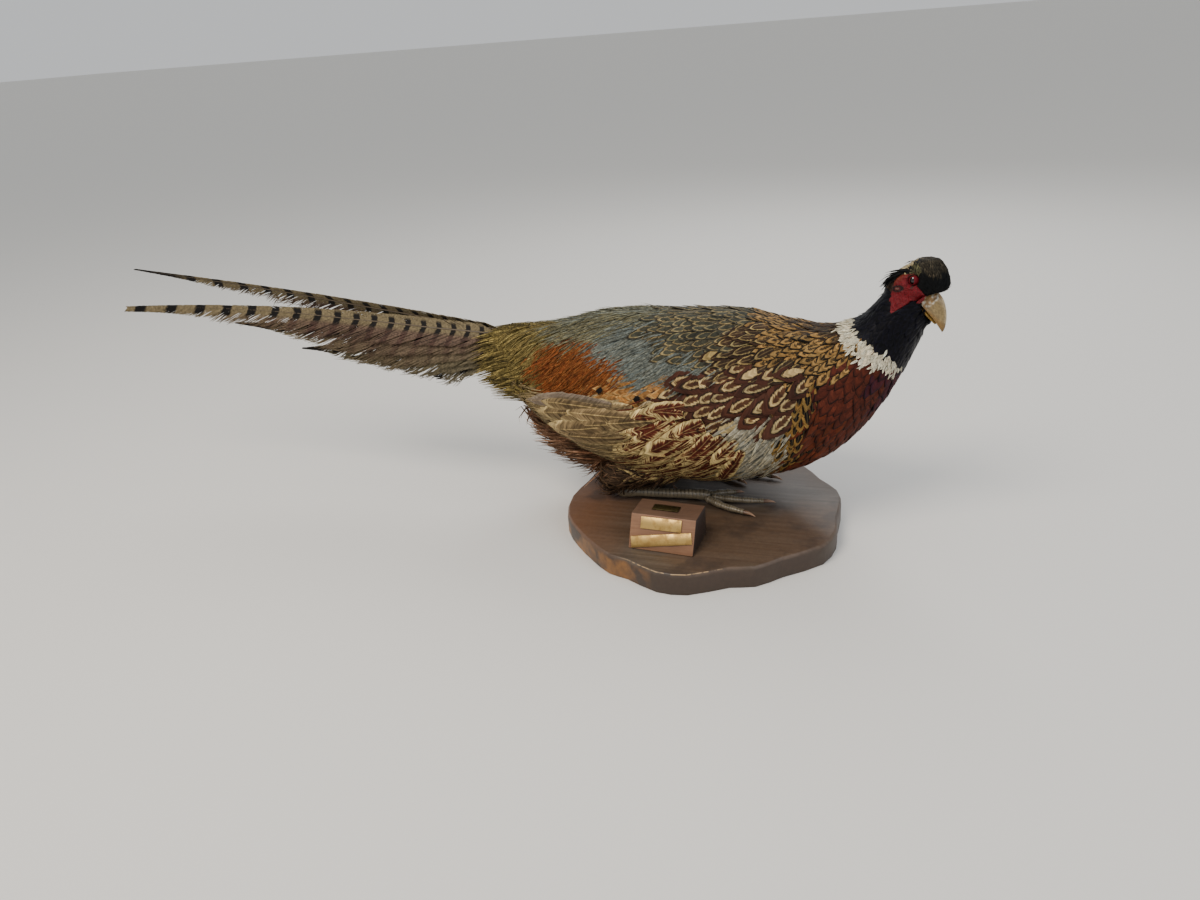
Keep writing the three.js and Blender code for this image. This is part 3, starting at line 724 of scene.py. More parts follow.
def coat_colours(index):
    return {key: tract_colour(index, key) for key in PAINTS}


def inside(outline, x, z):
    """Whether points lie inside a closed outline."""
    hits = np.zeros(len(x), bool)
    for (x0, z0), (x1, z1) in zip(outline, outline[1:] + outline[:1]):
        spans = (z0 > z) != (z1 > z)
        hits ^= spans & (x < (x1 - x0) * (z - z0) / (z1 - z0 + 1e-9) + x0)
    return hits


def paint_skin(skin, rng):
    """Gives every triangle of the skin its tract, and the skin the tracts' colours."""
    mesh = skin.object.data
    centres = read_points(mesh.polygons, "center")
    index, _, _ = tracts_at(centres, skin.owners(centres), rng, 3.0)
    skin.tracts = index[skin.faces]
    skin.middles = skin.points[skin.corners].mean(1)
    skin.tilts = unit(skin.normals[skin.corners].sum(1))
    skin.axes = flow_axes(skin.middles)
    weight = np.bincount(skin.corners.ravel(), minlength=len(skin.points))[:, None]
    total = np.zeros((len(skin.points), 3))
    shade = 0.6 * tract_colour(skin.tracts, "heart") + 0.4 * tract_colour(skin.tracts, "ring")
    for k in range(3):
        np.add.at(total, skin.corners[:, k], shade)
    set_colours(mesh, "coat", total / weight)
    set_uv(mesh, "OFBake", unwrap(skin.points))


def homes(skin, tract):
    """The triangles where a tract's feathers are rooted, so that their tips fill the tract."""
    look = TRACTS[tract]
    number = TRACT_NAMES.index(tract)
    if look.long < SHORT:
        return skin.tracts == number
    ways = flow(skin.axes, skin.tilts, np.full(len(skin.middles), float(look.lean)))
    reach = look.long * look.reach * MM
    tips = skin.middles + ways * reach
    found = np.array([skin.tree.find_nearest(Vector(p))[2] for p in tips])
    return skin.tracts[found] == number


def coat(name, skin, tracts, material, slot, nodes, rng, side=0, hair=False, **looks):
    """The feathers of some tracts as one piece. side keeps those of the right (-1) or left (1)."""
    roots = []
    kinds = []
    for tract in tracts:
        here = homes(skin, tract)
        if side:
            here &= (skin.middles[:, 1] - MIDDLE) * side > 0
        if here.any():
            found = scatter(skin, here, TRACTS[tract].gap * MM, rng)
            roots.append(found)
            kinds.append(np.full(len(found), TRACT_NAMES.index(tract)))
    roots = np.concatenate(roots)
    kinds = np.concatenate(kinds)
    count = len(roots)
    _, normals = skin.rest(roots)
    lean = tract_value(kinds, "lean") + rng.normal(0, looks.pop("wander", 7), count)
    ways = flow(flow_axes(roots), normals, lean)
    lengths = tract_value(kinds, "long") * MM * rng.uniform(0.85, 1.12, count)
    widths = tract_value(kinds, "wide") * MM * rng.uniform(0.88, 1.1, count)
    colours = coat_colours(kinds)
    filled = rng.random(count) < tract_value(kinds, "filled")
    colours["heart"][filled] = colours["ring"][filled]
    tone = np.exp(rng.normal(0, looks.pop("tone", 0.1), (count, 1)))
    warm = 1 + rng.normal(0, 0.03, (count, 1)) * np.array([[1, 0, -1]])
    colours = {key: value * tone * warm for key, value in colours.items()}
    bands = tract_value(kinds, "bands")
    marks = tract_value(kinds, "marks")
    if hair:
        looks = dict(rows=4, **STRANDS, **looks)
    made = vanes(
        name, skin, roots, ways, lengths, widths, rng, material, colours=colours, bands=bands, marks=marks,
        **looks)
    return settle(made, slot, *nodes)


# ---- flight feathers

# Large feathers of the folded wing: root and tip, each as stations along the spine and degrees
# from the back, then the width in millimetres. Later rows lie over earlier ones.
TERTIALS = [
    (3.6, 92, 2.15, 136, 18), (4.4, 86, 2.25, 131, 20), (4.45, 118, 3.3, 139, 22),
    (4.5, 113, 3.75, 134, 18), (4.6, 104, 2.95, 137, 24), (4.6, 95, 2.85, 131, 24),
    (4.5, 88, 2.5, 120, 22), (4.5, 86, 2.9, 112, 20), (4.6, 94, 3.4, 110, 20),
    (4.1, 89, 2.6, 105, 18), (4.7, 90, 3.1, 103, 18), (4.9, 90, 3.95, 100, 15),
]
GREY_TERTIALS = [(3.9, 88, 2.2, 113, 15), (4.1, 86, 2.5, 104, 13)]
SECONDARIES = [
    (5.1, 130, 4.3, 148, 12), (5.1, 120, 4.0, 145, 14), (5.75, 112, 4.85, 147, 13),
    (6.2, 110, 5.4, 145, 12), (5.2, 114, 4.05, 138, 16), (5.3, 94, 4.15, 124, 17),
    (5.6, 97, 4.85, 140, 17), (6.0, 102, 5.25, 139, 15), (6.3, 112, 5.7, 144, 12),
    (5.3, 90, 4.4, 106, 16), (5.55, 92, 4.85, 114, 16), (5.9, 97, 5.35, 123, 15),
    (6.25, 103, 5.85, 120, 11), (5.05, 86, 4.45, 92, 15), (5.4, 83, 4.8, 86, 14),
    (5.7, 92, 5.1, 104, 13),
]


SPOTS = [(3.85, 77, 5.6, 6.2), (4.62, 77, 6.2, 6.6)]  # black marks: station, degrees, wide, long
STRANDS_START = -172 * MM  # the strands over the tail's root spring from behind this place


def blade_vane(v):
    return np.clip(1.25 * np.clip(v + 0.03, 0, 1) ** 0.3 * (1 - np.clip(v, 0, 1) ** 6), 0.06, 1)


def place_on(skin, t, turn, side):
    """Points of the skin at stations along the spine and degrees from the back, on one side."""
    centre, _, right, up = spine_frame(t)
    a = np.radians(turn)[:, None]
    out = up * np.cos(a) - right * np.sin(a) * side
    found = []
    for c, o in zip(centre, out):
        hit = skin.tree.ray_cast(Vector(c + o * 0.2), Vector(-o))
        found.append(hit[0])
    return np.array(found)


def flight_feathers(name, skin, table, side, material, rng, colours, bands, marks, copies=1, low=1.2):
    """The large feathers of a table, each with some copies strewn about it, laid in the table's order."""
    rows = np.repeat(np.array(table, float), copies, 0)
    count = len(rows)
    if copies > 1:
        rows += rng.normal(0, 1, rows.shape) * (0.07, 2.2, 0.1, 2.6, 1.2)
    roots = place_on(skin, rows[:, 0], rows[:, 1], side)
    tips = place_on(skin, rows[:, 2], rows[:, 3], side)
    tone = rng.uniform(0.82, 1.18, (count, 1))
    made = vanes(
        name, skin, roots, unit(tips - roots), np.linalg.norm(tips - roots, axis=1) * 1.03, rows[:, 4] * MM,
        rng, material, rows=22, columns=10, shape=blade_vane, lift=0.02, camber=0.2, fray=0.03,
        colours={key: np.array(linear(code)) * tone for key, code in zip(PAINTS, colours)}, bands=bands,
        marks=marks, layer=np.linspace(low, 4.2, count) * MM)
    return settle(made, "wing_feathers", "wing_" + ("left" if side > 0 else "right"))


RUFOUS_SHARE = 0.45  # of the loose barbs over the flight feathers


def wing_details(name, skin, side, rng, body, loose):
    """Loose pale and rufous barbs over the flight feathers, and the black spots above the wing."""
    node = "wing_" + name
    here = np.isin(skin.tracts, [TRACT_NAMES.index("flight_cover"), TRACT_NAMES.index("tertial_cover")])
    here &= (skin.middles[:, 1] - MIDDLE) * side > 0
    roots = scatter(skin, here, 3.6 * MM, rng)
    count = len(roots)
    t, _ = locate(roots)
    ways = flow(flow_axes(roots), skin.rest(roots)[1], np.where(t > 4.6, 32, 15) + rng.normal(0, 4, count))
    rufous = ((rng.random(count) < RUFOUS_SHARE) & (t > 4.5))[:, None]
    tone = rng.uniform(0.55, 1.25, (count, 1))
    plain = np.where(t[:, None] > 4.5, linear("#a08a5c"), linear("#7d6c4c"))
    paints = zip(PAINTS, ("#42190f", "#4d2014", "#5e3422"))
    colours = {key: np.where(rufous, linear(code), plain) * tone for key, code in paints}
    made = vanes(
        "wing_barbs_" + name, skin, roots, ways, MM * rng.uniform(16, 34, count),
        MM * rng.uniform(0.7, 1.5, count), rng, loose, rows=5, **STRANDS, lift=0.03, colours=colours,
        marks=(0, 0.4, 0.8), layer=4.4 * MM)
    settle(made, "wing_feathers", node)
    rows = np.array(SPOTS)
    roots = place_on(skin, rows[:, 0], rows[:, 1], side)
    ways = flow(flow_axes(roots), skin.rest(roots)[1], np.full(len(rows), 10.0))
    made = vanes(
        "spots_" + name, skin, roots, ways, rows[:, 3] * MM, rows[:, 2] * MM, rng, body, rows=6, columns=6,
        fray=0.22, colours=dict.fromkeys(PAINTS, linear("#070504")), layer=4.0 * MM)
    settle(made, "wing_feathers", node)


def tail_root_strands(skin, rng, material):
    """Long olive strands that leave the rump and lie over the roots of the tail feathers."""
    here = skin.tracts == TRACT_NAMES.index("tail_cover")
    here &= skin.middles[:, 0] < STRANDS_START
    roots = scatter(skin, here, 2.1 * MM, rng)
    count = len(roots)
    side = np.sign(roots[:, 1] - MIDDLE)
    aim = np.stack([
        np.full(count, -272 * MM), MIDDLE + side * 15 * MM,
        np.clip(roots[:, 2] - 20 * MM, 122 * MM, 182 * MM),
    ], 1) + rng.normal(0, 5 * MM, (count, 3))
    ways = unit(aim - roots)
    lengths = rng.uniform(14, 36, count) * MM
    index = np.full(count, TRACT_NAMES.index("tail_cover"))
    tone = np.exp(rng.normal(0.0, 0.4, (count, 1)))
    colours = {key: value * tone for key, value in coat_colours(index).items()}
    made = vanes(
        "tail_root_feathers", skin, roots, ways, lengths, np.full(count, 1.9 * MM), rng, material, rows=5,
        **STRANDS, lift=0.02, base=1.2, colours=colours, droop=0.08, bands=tract_value(index, "bands"),
        marks=tract_value(index, "marks"))
    settle(made, "body_feathers", "tail_coverts")


# ---- tail

TAIL_ROOT = MM * np.array([-203, 34, 179])
TAIL_STEP = 5 * MM  # each pair of feathers springs this much lower than the last
TAIL_SLOPE = 52  # degrees that a feather hangs down sideways
SPRUNG_SLOPE = 66  # degrees that the sprung feather hangs down
TAIL_SHAFT = 0.35  # how far across the feather its shaft runs
BARB_ANGLES = (24, 26)  # degrees between the shaft and its inner and outer barbs
LOCK_BARBS = 5  # barbs that cling together
# Each pair from the middle outwards: how far its tip is behind the root, out to its side and above
# the root, how far it arches, and its width, in millimetres.
TAIL = [(446, 12, 15, 9, 40), (300, 16, 6, 3, 38), (221, 18, -14, 3, 36), (172, 18, -18, 3, 33),
        (130, 17, -19, 2, 30), (78, 16, -22, 1, 26)]
SPRUNG = (452, 16, 49, 4, 33)  # the left middle feather, which has sprung up


def tail_feather(name, side, place, rng, material, sizes):
    """A tail feather of separate barbs, which part into a fringe along its lower edge."""
    back, out, rise, arch, wide = SPRUNG if side > 0 and place == 0 else TAIL[place]
    root = TAIL_ROOT + MM * np.array([0, side * 0.8, 0]) - np.array([0, 0, TAIL_STEP * place])
    tip = root + MM * np.array([-back, side * out, rise])
    bend = (root + tip) / 2 + MM * np.array([0, 0, 2 * arch])
    sprung = side > 0 and place == 0
    slope = math.radians(SPRUNG_SLOPE if sprung else TAIL_SLOPE)
    blunt = 0.16 if place == 0 and not sprung else 0.02
    across = np.array([0, side * math.cos(slope), -math.sin(slope)])
    normal = np.array([0, side * math.sin(slope), math.cos(slope)])
    length = np.linalg.norm(tip - root)

    def edge(v):
        v = v[..., None]
        return root * (1 - v) ** 2 + bend * 2 * v * (1 - v) + tip * v**2

    def width(v):
        v = np.clip(v, 0, 1)
        broad = (0.62, 0.76, 0.68, 0.44, 0.28) if place == 0 else (0.62, 0.78, 0.74, 0.56, 0.3)
        return MM * wide * np.interp(v, (0, 0.15, 0.36, 0.56, 0.77, 1), (*broad, blunt))

    barb_gap = sizes.barb_gap
    barbs = int(length / barb_gap)
    start = np.repeat((np.arange(barbs) + rng.uniform(-0.2, 0.2, barbs)) / barbs, 2)
    outer = np.tile((False, True), barbs)
    count = len(start)
    share = np.where(outer, 1 - TAIL_SHAFT, TAIL_SHAFT)
    angle = np.radians(np.where(outer, BARB_ANGLES[1], BARB_ANGLES[0]) + rng.normal(0, 2.5, count))
    loose = np.where(outer, ramp(0.08, 0.3, start) * (1 - ramp(0.55, 0.9, start)), 0.1)
    full = width(start) * share / np.sin(angle)
    # Neighbouring barbs cling together in locks, which stray alike.
    locks = rng.normal(0, 1, (4, barbs // LOCK_BARBS + 2))
    lock = np.array([np.interp(start * (barbs / LOCK_BARBS), np.arange(len(row)), row) for row in locks])
    full *= 1 + loose * np.abs(0.28 * lock[0] + rng.normal(0, 0.12, count)) + 0.04
    steps = np.array([0, 0.25, 0.5, 0.75, 1.0])
    along_f = start[:, None] + steps * (full * np.cos(angle) / length)[:, None]
    along_f = np.minimum(along_f, 1.0 - 0.01 * (1 - steps))
    away = steps * (full * np.sin(angle))[:, None] * np.where(outer, 1, -1)[:, None]
    shaft = TAIL_SHAFT * width(along_f)
    place_across = np.maximum(shaft + away, 0.15 * MM)
    limit = width(along_f) * (1 + 0.35 * loose[:, None])
    place_across = np.minimum(place_across, limit)
    stray = (0.8 * lock[1] + rng.normal(0, 0.4, count))[:, None] * loose[:, None] * steps**2
    sag = -np.abs(3.0 * lock[2] + rng.normal(0, 1.0, count))[:, None] * MM * loose[:, None] * steps**2
    lift = MM * (0.9 * (1 - steps) + 0.45) + MM * rng.normal(0, 0.12, (count, 1)) + stray * 1.2 * MM
    points = edge(along_f) + across * place_across[..., None] + normal * lift[..., None]
    points[..., 2] += sag
    points[..., 0] -= stray * 2.0 * MM
    thick = np.array([1.25, 1.2, 1.1, 0.9, 0.25]) * barb_gap * (1 - 0.35 * loose[:, None] * steps)
    ahead = unit(np.gradient(points, axis=1))
    broad = unit(np.cross(ahead, normal))
    left = points - broad * thick[..., None] / 2
    right = points + broad * thick[..., None] / 2
    low = 0.12 * MM * normal
    ring = np.stack([left, right, right - low, left - low], 2)
    total = ring.reshape(count, -1, 3)
    base = (np.arange(len(steps) - 1) * 4)[:, None, None]
    k = np.arange(4)
    sides = np.stack([k, (k + 1) % 4, (k + 1) % 4 + 4, k + 4], -1)[None] + base
    caps = np.array([[3, 2, 1, 0], [16, 17, 18, 19]])
    each = np.concatenate([sides.reshape(-1, 4), caps])
    quads = each[None] + (np.arange(count) * total.shape[1])[:, None, None]
    made = mesh_object(name, total, quads, material, smooth=False)
    mesh = made.data
    distance = along_f * length / MM
    reach = (place_across - shaft) / MM
    slant = distance - np.abs(reach) * 0.35
    marks = np.linspace(0, length / MM, 400)
    share_along = marks * MM / length
    pitch = sizes.bar_pitch / MM * (0.55 + 0.6 * share_along + 0.73 * share_along**2)
    bars = np.concatenate([[0], np.cumsum(1 / pitch[:-1]) * marks[1]])
    tip_dark = 1.0 if sprung or place > 0 else 0.0

    def spread(a):
        return np.repeat(np.broadcast_to(a, (count, len(steps))).reshape(-1), 4)

    luck = spread(rng.random((count, 1)))
    set_vectors(mesh, "vane", np.stack([spread(np.interp(slant, marks, bars)), spread(reach), luck], 1))
    set_vectors(
        mesh, "blade", np.stack([spread(along_f), spread(distance), np.full(len(luck), place / 6)], 1))
    set_vectors(mesh, "tip", np.tile((tip_dark, 0, 0), (len(luck), 1)))
    u = 0.05 + 0.9 * spread(along_f)
    v = 0.5 + 0.45 * spread(reach) / wide
    set_uv(mesh, "OFBake", np.stack([u, v], 1))
    where = np.linspace(0, 0.985, 60)
    centres = edge(where) + across * (TAIL_SHAFT * width(where))[:, None] + normal * 0.9 * MM
    radii = MM * (1.25 - 1.0 * where)
    return made, centres, radii


def make_tail(rng, sizes):
    vane = tail_material()
    quill, node, shade = new_material("tail quills, bare keratin")
    streaks = node("TexNoise", {"Scale": 130.0, "Detail": 3.0})[0]
    colour = node("Mix", {0: streaks, 6: rgba("#2c2117"), 7: rgba("#5e4e34")}, data_type="RGBA")[2]
    shade({"Base Color": colour, "Roughness": 0.4})
    for name, side in SIDES:
        for place in range(len(TAIL)):
            node = f"tail_feather_{name}_{place + 1}"
            made, centres, radii = tail_feather(node + "_vane", side, place, rng, vane, sizes)
            settle(made, "tail_feathers", node)
            shaft = tube(node + "_quill", centres, radii, 8, quill, 0.8)
            settle(shaft, "tail_feathers", node)


def tail_material():
    """Tail vanes: olive buff, with dark bars by the shaft, closer together near the root, and loose
    purplish barbs outside it. The outer feathers are greyer and mottled."""
    made, node, shade = new_material("tail feathers, barred vanes")
    parts = {}
    for key in ("vane", "blade", "tip"):
        vector = node("Attribute", attribute_name=key)["Vector"]
        parts[key] = node("SeparateXYZ", {0: vector})
    bars, across, luck = parts["vane"]
    length, distance, place = parts["blade"]
    spots = node("CombineXYZ", {0: distance, 1: across, 2: luck})[0]
    mottle = node("TexNoise", {"Vector": spots, "Scale": 0.5, "Detail": 3.0})[0]
    phase = node("Math", {0: mottle, 1: 0.14, 2: bars}, operation="MULTIPLY_ADD")[0]
    phase = node("Math", {0: phase}, operation="FRACT")[0]
    rise = node("MapRange", {"Value": phase, "From Min": 0.0, "From Max": 0.05})[0]
    fall = node("MapRange", {"Value": phase, "From Min": 0.4, "From Max": 0.34})[0]
    bar = node("Math", {0: rise, 1: fall}, operation="MULTIPLY")[0]
    off = node("Math", {0: across}, operation="ABSOLUTE")[0]
    inner = node("MapRange", {"Value": off, "From Min": 8.5, "From Max": 5.0})[0]
    dark = node("Math", {0: bar, 1: inner}, operation="MULTIPLY")[0]
    purple = node("MapRange", {"Value": across, "From Min": 3.0, "From Max": 8.0})[0]
    basal = node("MapRange", {"Value": length, "From Min": 0.8, "From Max": 0.45})[0]
    purple = node("Math", {0: purple, 1: basal}, operation="MULTIPLY")[0]
    near = node("MapRange", {"Value": place, "From Min": 0.5, "From Max": 0.0})[0]
    purple = node("Math", {0: purple, 1: near}, operation="MULTIPLY")[0]
    red = node("Math", {0: bar, 1: purple}, operation="MULTIPLY")[0]
    red = node("Math", {0: red, 1: 0.7}, operation="MULTIPLY")[0]
    seed = node("CombineXYZ", {0: luck})[0]
    grain = node("TexNoise", {"Vector": seed, "Scale": 40.0, "Detail": 2.0})[0]
    streak = node("MapRange", {"Value": grain, "From Min": 0.52, "From Max": 0.64, "To Max": 0.85})[0]
    streak = node("Math", {0: streak, 1: purple}, operation="MULTIPLY")[0]
    tip = node("MapRange", {"Value": length, "From Min": 0.82, "From Max": 0.88})[0]
    tip = node("Math", {0: tip, 1: parts["tip"][0]}, operation="MULTIPLY")[0]
    colour = rgba("#6a5e45")
    paints = (
        (place, "#524c3c"), (purple, "#5a483b"), (red, "#3b2520"), (streak, "#1a110e"), (dark, "#0b0807"),
        (tip, "#120d0b"))
    for share, code in paints:
        colour = node("Mix", {0: share, 6: colour, 7: rgba(code)}, data_type="RGBA")[2]
    for value, low, high, dim, bright in ((mottle, 0.35, 0.65, 0.65, 1.35), (grain, 0.0, 1.0, 0.6, 1.4)):
        spread = {"Value": value, "From Min": low, "From Max": high, "To Min": dim, "To Max": bright}
        tone = node("MapRange", spread)[0]
        colour = node("VectorMath", {0: colour, "Scale": tone}, operation="SCALE")[0]
    shade({"Base Color": colour, "Roughness": 0.6, "Specular IOR Level": 0.15})
    return made


def tube(name, centres, radii, sides, material, flatten=1.0):
    """A round tapering rod through centres."""
    ahead = unit(np.gradient(centres, axis=0))
    side = unit(np.cross(ahead, (0, 0, 1)))
    up = np.cross(side, ahead)
    spin = np.linspace(0, 2 * np.pi, sides, endpoint=False)
    ring = side[:, None] * np.sin(spin)[:, None] + up[:, None] * (flatten * np.cos(spin))[:, None]
    points = centres[:, None] + ring * radii[:, None, None]
    return mesh_object(name, points, grid_quads(len(centres), sides), material)


def grid_quads(rows, sides, flipped=False):
    """The faces of a grid of points, closed round each row."""
    r = np.arange(rows - 1)[:, None]
    c = np.arange(sides)[None]
    after = (c + 1) % sides
    near, far = r * sides, (r + 1) * sides
    quads = np.stack(np.broadcast_arrays(near + c, near + after, far + after, far + c), -1)
    return quads[..., ::-1] if flipped else quads


# ---- head

# Stations of the bill's two halves in the head's frame: x, z, half width, height, depth.
UPPER_BILL = [
    (7, -7.2, 8.4, 12.4, 1.2), (14, -7.4, 7.7, 13.8, 1.2), (20, -7.8, 6.5, 13.4, 1.2),
    (27, -8.8, 4.8, 11, 1), (33, -10, 3.2, 7.4, 1), (37.4, -11.2, 1.7, 3.4, 0.8),
    (39, -12, 0.5, 0.8, 0.5),
]
LOWER_BILL = [
    (7, -9.8, 7.6, 0.6, 2.6), (15, -10, 6.6, 0.6, 2.8), (22, -10.4, 5.2, 0.6, 2.6),
    (27, -11, 3.6, 0.6, 1.9), (30.5, -11.8, 1.6, 0.4, 0.9),
]
EYE_AT = (-7.6, 9.9, 3.1)
LID_REACH = 6.4  # how far the lids run out from the eye's middle, in millimetres
LID_RISE = 1.5  # how far their inner edge stands over the cheek
LID_FALL = 1.7  # how much lower their outer edge lies
HALF_TURN = math.sqrt(0.5)  # the eye's opening is turned by an eighth of a circle, down to the bill


def ripple(points, scale, seed):
    """Smooth random values from -1 to 1, the same for the same places."""
    shift = Vector((seed * 17.3, seed * 5.1, seed * 9.7))
    return np.array(
        [noise.noise(Vector(p) * scale + shift) for p in points.reshape(-1, 3)]).reshape(points.shape[:-1])


def head_loft(table, rings, sides):
    """A bill half: its points by ring and side."""
    rows = along(table, np.linspace(0, len(table) - 1, rings))
    spin = np.linspace(0, 2 * np.pi, sides, endpoint=False)
    high = np.where(np.cos(spin) > 0, rows[:, 3:4], rows[:, 4:5])
    x = np.broadcast_to(rows[:, 0:1], (rings, sides)).copy()
    y = -rows[:, 2:3] * np.sin(spin)
    z = rows[:, 1:2] + high * np.cos(spin)
    return np.stack([x, y, z], -1)


def painted(tint, share, code):
    """Colours with a share of another laid over them."""
    share = np.clip(share, 0, 1)[..., None]
    return tint * (1 - share) + np.array(linear(code)) * share


def make_bill():
    """Horn: a waxy pale sheath, yellower along the cutting edges, with a flaking grey cere."""
    made, node, shade = new_material("bill horn, layered keratin")
    tint = node("Attribute", attribute_name="horn")["Color"]
    place = node("Attribute", attribute_name="place")["Vector"]
    streaks = node("Mapping", {0: place, "Scale": (0.25, 1.2, 1.2)})[0]
    lines = node("TexNoise", {"Vector": streaks, "Scale": 1.1, "Detail": 4.0})[0]
    spread = {"Value": lines, "From Min": 0.3, "From Max": 0.7, "To Min": 0.55, "To Max": 1.4}
    tone = node("MapRange", spread)[0]
    colour = node("VectorMath", {0: tint, "Scale": tone}, operation="SCALE")[0]
    bump = node("Bump", {"Height": lines, "Strength": 0.3, "Distance": 0.3 * MM})[0]
    shade({
        "Base Color": colour, "Normal": bump, "Roughness": 0.34, "Subsurface Weight": 0.08,
        "Subsurface Radius": (1.5 * MM, 0.9 * MM, 0.5 * MM),
    })
    for name, table in (("bill_upper", UPPER_BILL), ("bill_lower", LOWER_BILL)):
        rings, sides = 72, 64
        grid = head_loft(table, rings, sides)
        x, y, z = grid[..., 0], grid[..., 1], grid[..., 2]
        tint = np.tile(bpy.context.scene.pheasant_colours.horn, (rings, sides, 1))
        if name == "bill_upper":
            low = ramp(-4.5, -7.5, z)
            tint = painted(tint, low, "#7d6030")
            # Painted highlight: a pale streak along the ridge of the upper bill.
            ridge_highlight = ramp(2.4, 0.6, np.abs(y)) * (z > -5)
            tint = painted(tint, 0.45 * ridge_highlight, "#cbb995")
            cere = 1 - ramp(15.5, 18, x + ripple(grid, 0.35, 1) * 2.0)
            tint = painted(tint, cere, "#86683f")
            flake = cere * ramp(0.05, 0.4, ripple(grid, 0.42, 2))
            tint = painted(tint, flake, "#b8b3a2")
            # The lid over the nostril swells at each side, above a slit that is pushed in and darkened with
            # painted shade.
            lid = np.exp(-((x - 12.6) / 3.2) ** 2 - ((z - 2.6) / 3.4) ** 2)
            slit = np.exp(-((x - 14.6) / 0.9) ** 2 - ((z - 3.6) / 2.6) ** 2)
            push = 1.0 * lid - 0.9 * slit
            grid[..., 1] += np.sign(y) * push * (np.abs(y) > 2)
            # Painted shade: the nostril's slit is darkened.
            tint *= (1 - 0.75 * slit * (np.abs(y) > 2))[..., None]
            edge = ramp(10, 39, x) * ramp(-6.2, -8.2, z - (x - 20) * -0.12)
            grid[..., 1] -= np.sign(y) * 0.35 * edge
        else:
            # Painted shade: the lower bill is darker towards its underside, which faces down.
            low = ramp(-0.9, -1.8, z - np.mean(z, 1, keepdims=True))
            tint = painted(np.array(linear("#86682f")), low, "#4a3a20")
        tint *= (1 - 0.25 * ramp(31, 39, x))[..., None]
        points = from_head(grid.reshape(-1, 3) * MM)
        piece = mesh_object(name + "_horn", points, grid_quads(rings, sides), made)
        set_colours(piece.data, "horn", tint.reshape(-1, 3))
        set_vectors(piece.data, "place", grid.reshape(-1, 3))
        settle(piece, "horn", name)


BESIDE_HEAD = 60.0  # millimetres from the head's middle, well outside it
HEAD_MISS = 45 * MM  # how far inwards a point goes that has no skin beside it


def wattle_surface(skin, side, x, z):
    """Points on the side of the bare head, above places in the head's frame."""
    flat = np.stack([x.ravel(), np.full(x.size, BESIDE_HEAD * side), z.ravel()], 1)
    start = from_head(flat * MM)
    inward = Vector(from_head([[0, -side * 1.0, 0]])[0] - HEAD_AT)
    found = []
    for p in start:
        at, _, _, _ = skin.tree.ray_cast(Vector(p), inward)
        found.append(at if at is not None else Vector(p) + inward * HEAD_MISS)
    return in_head(np.array(found)).reshape(*x.shape, 3) / MM


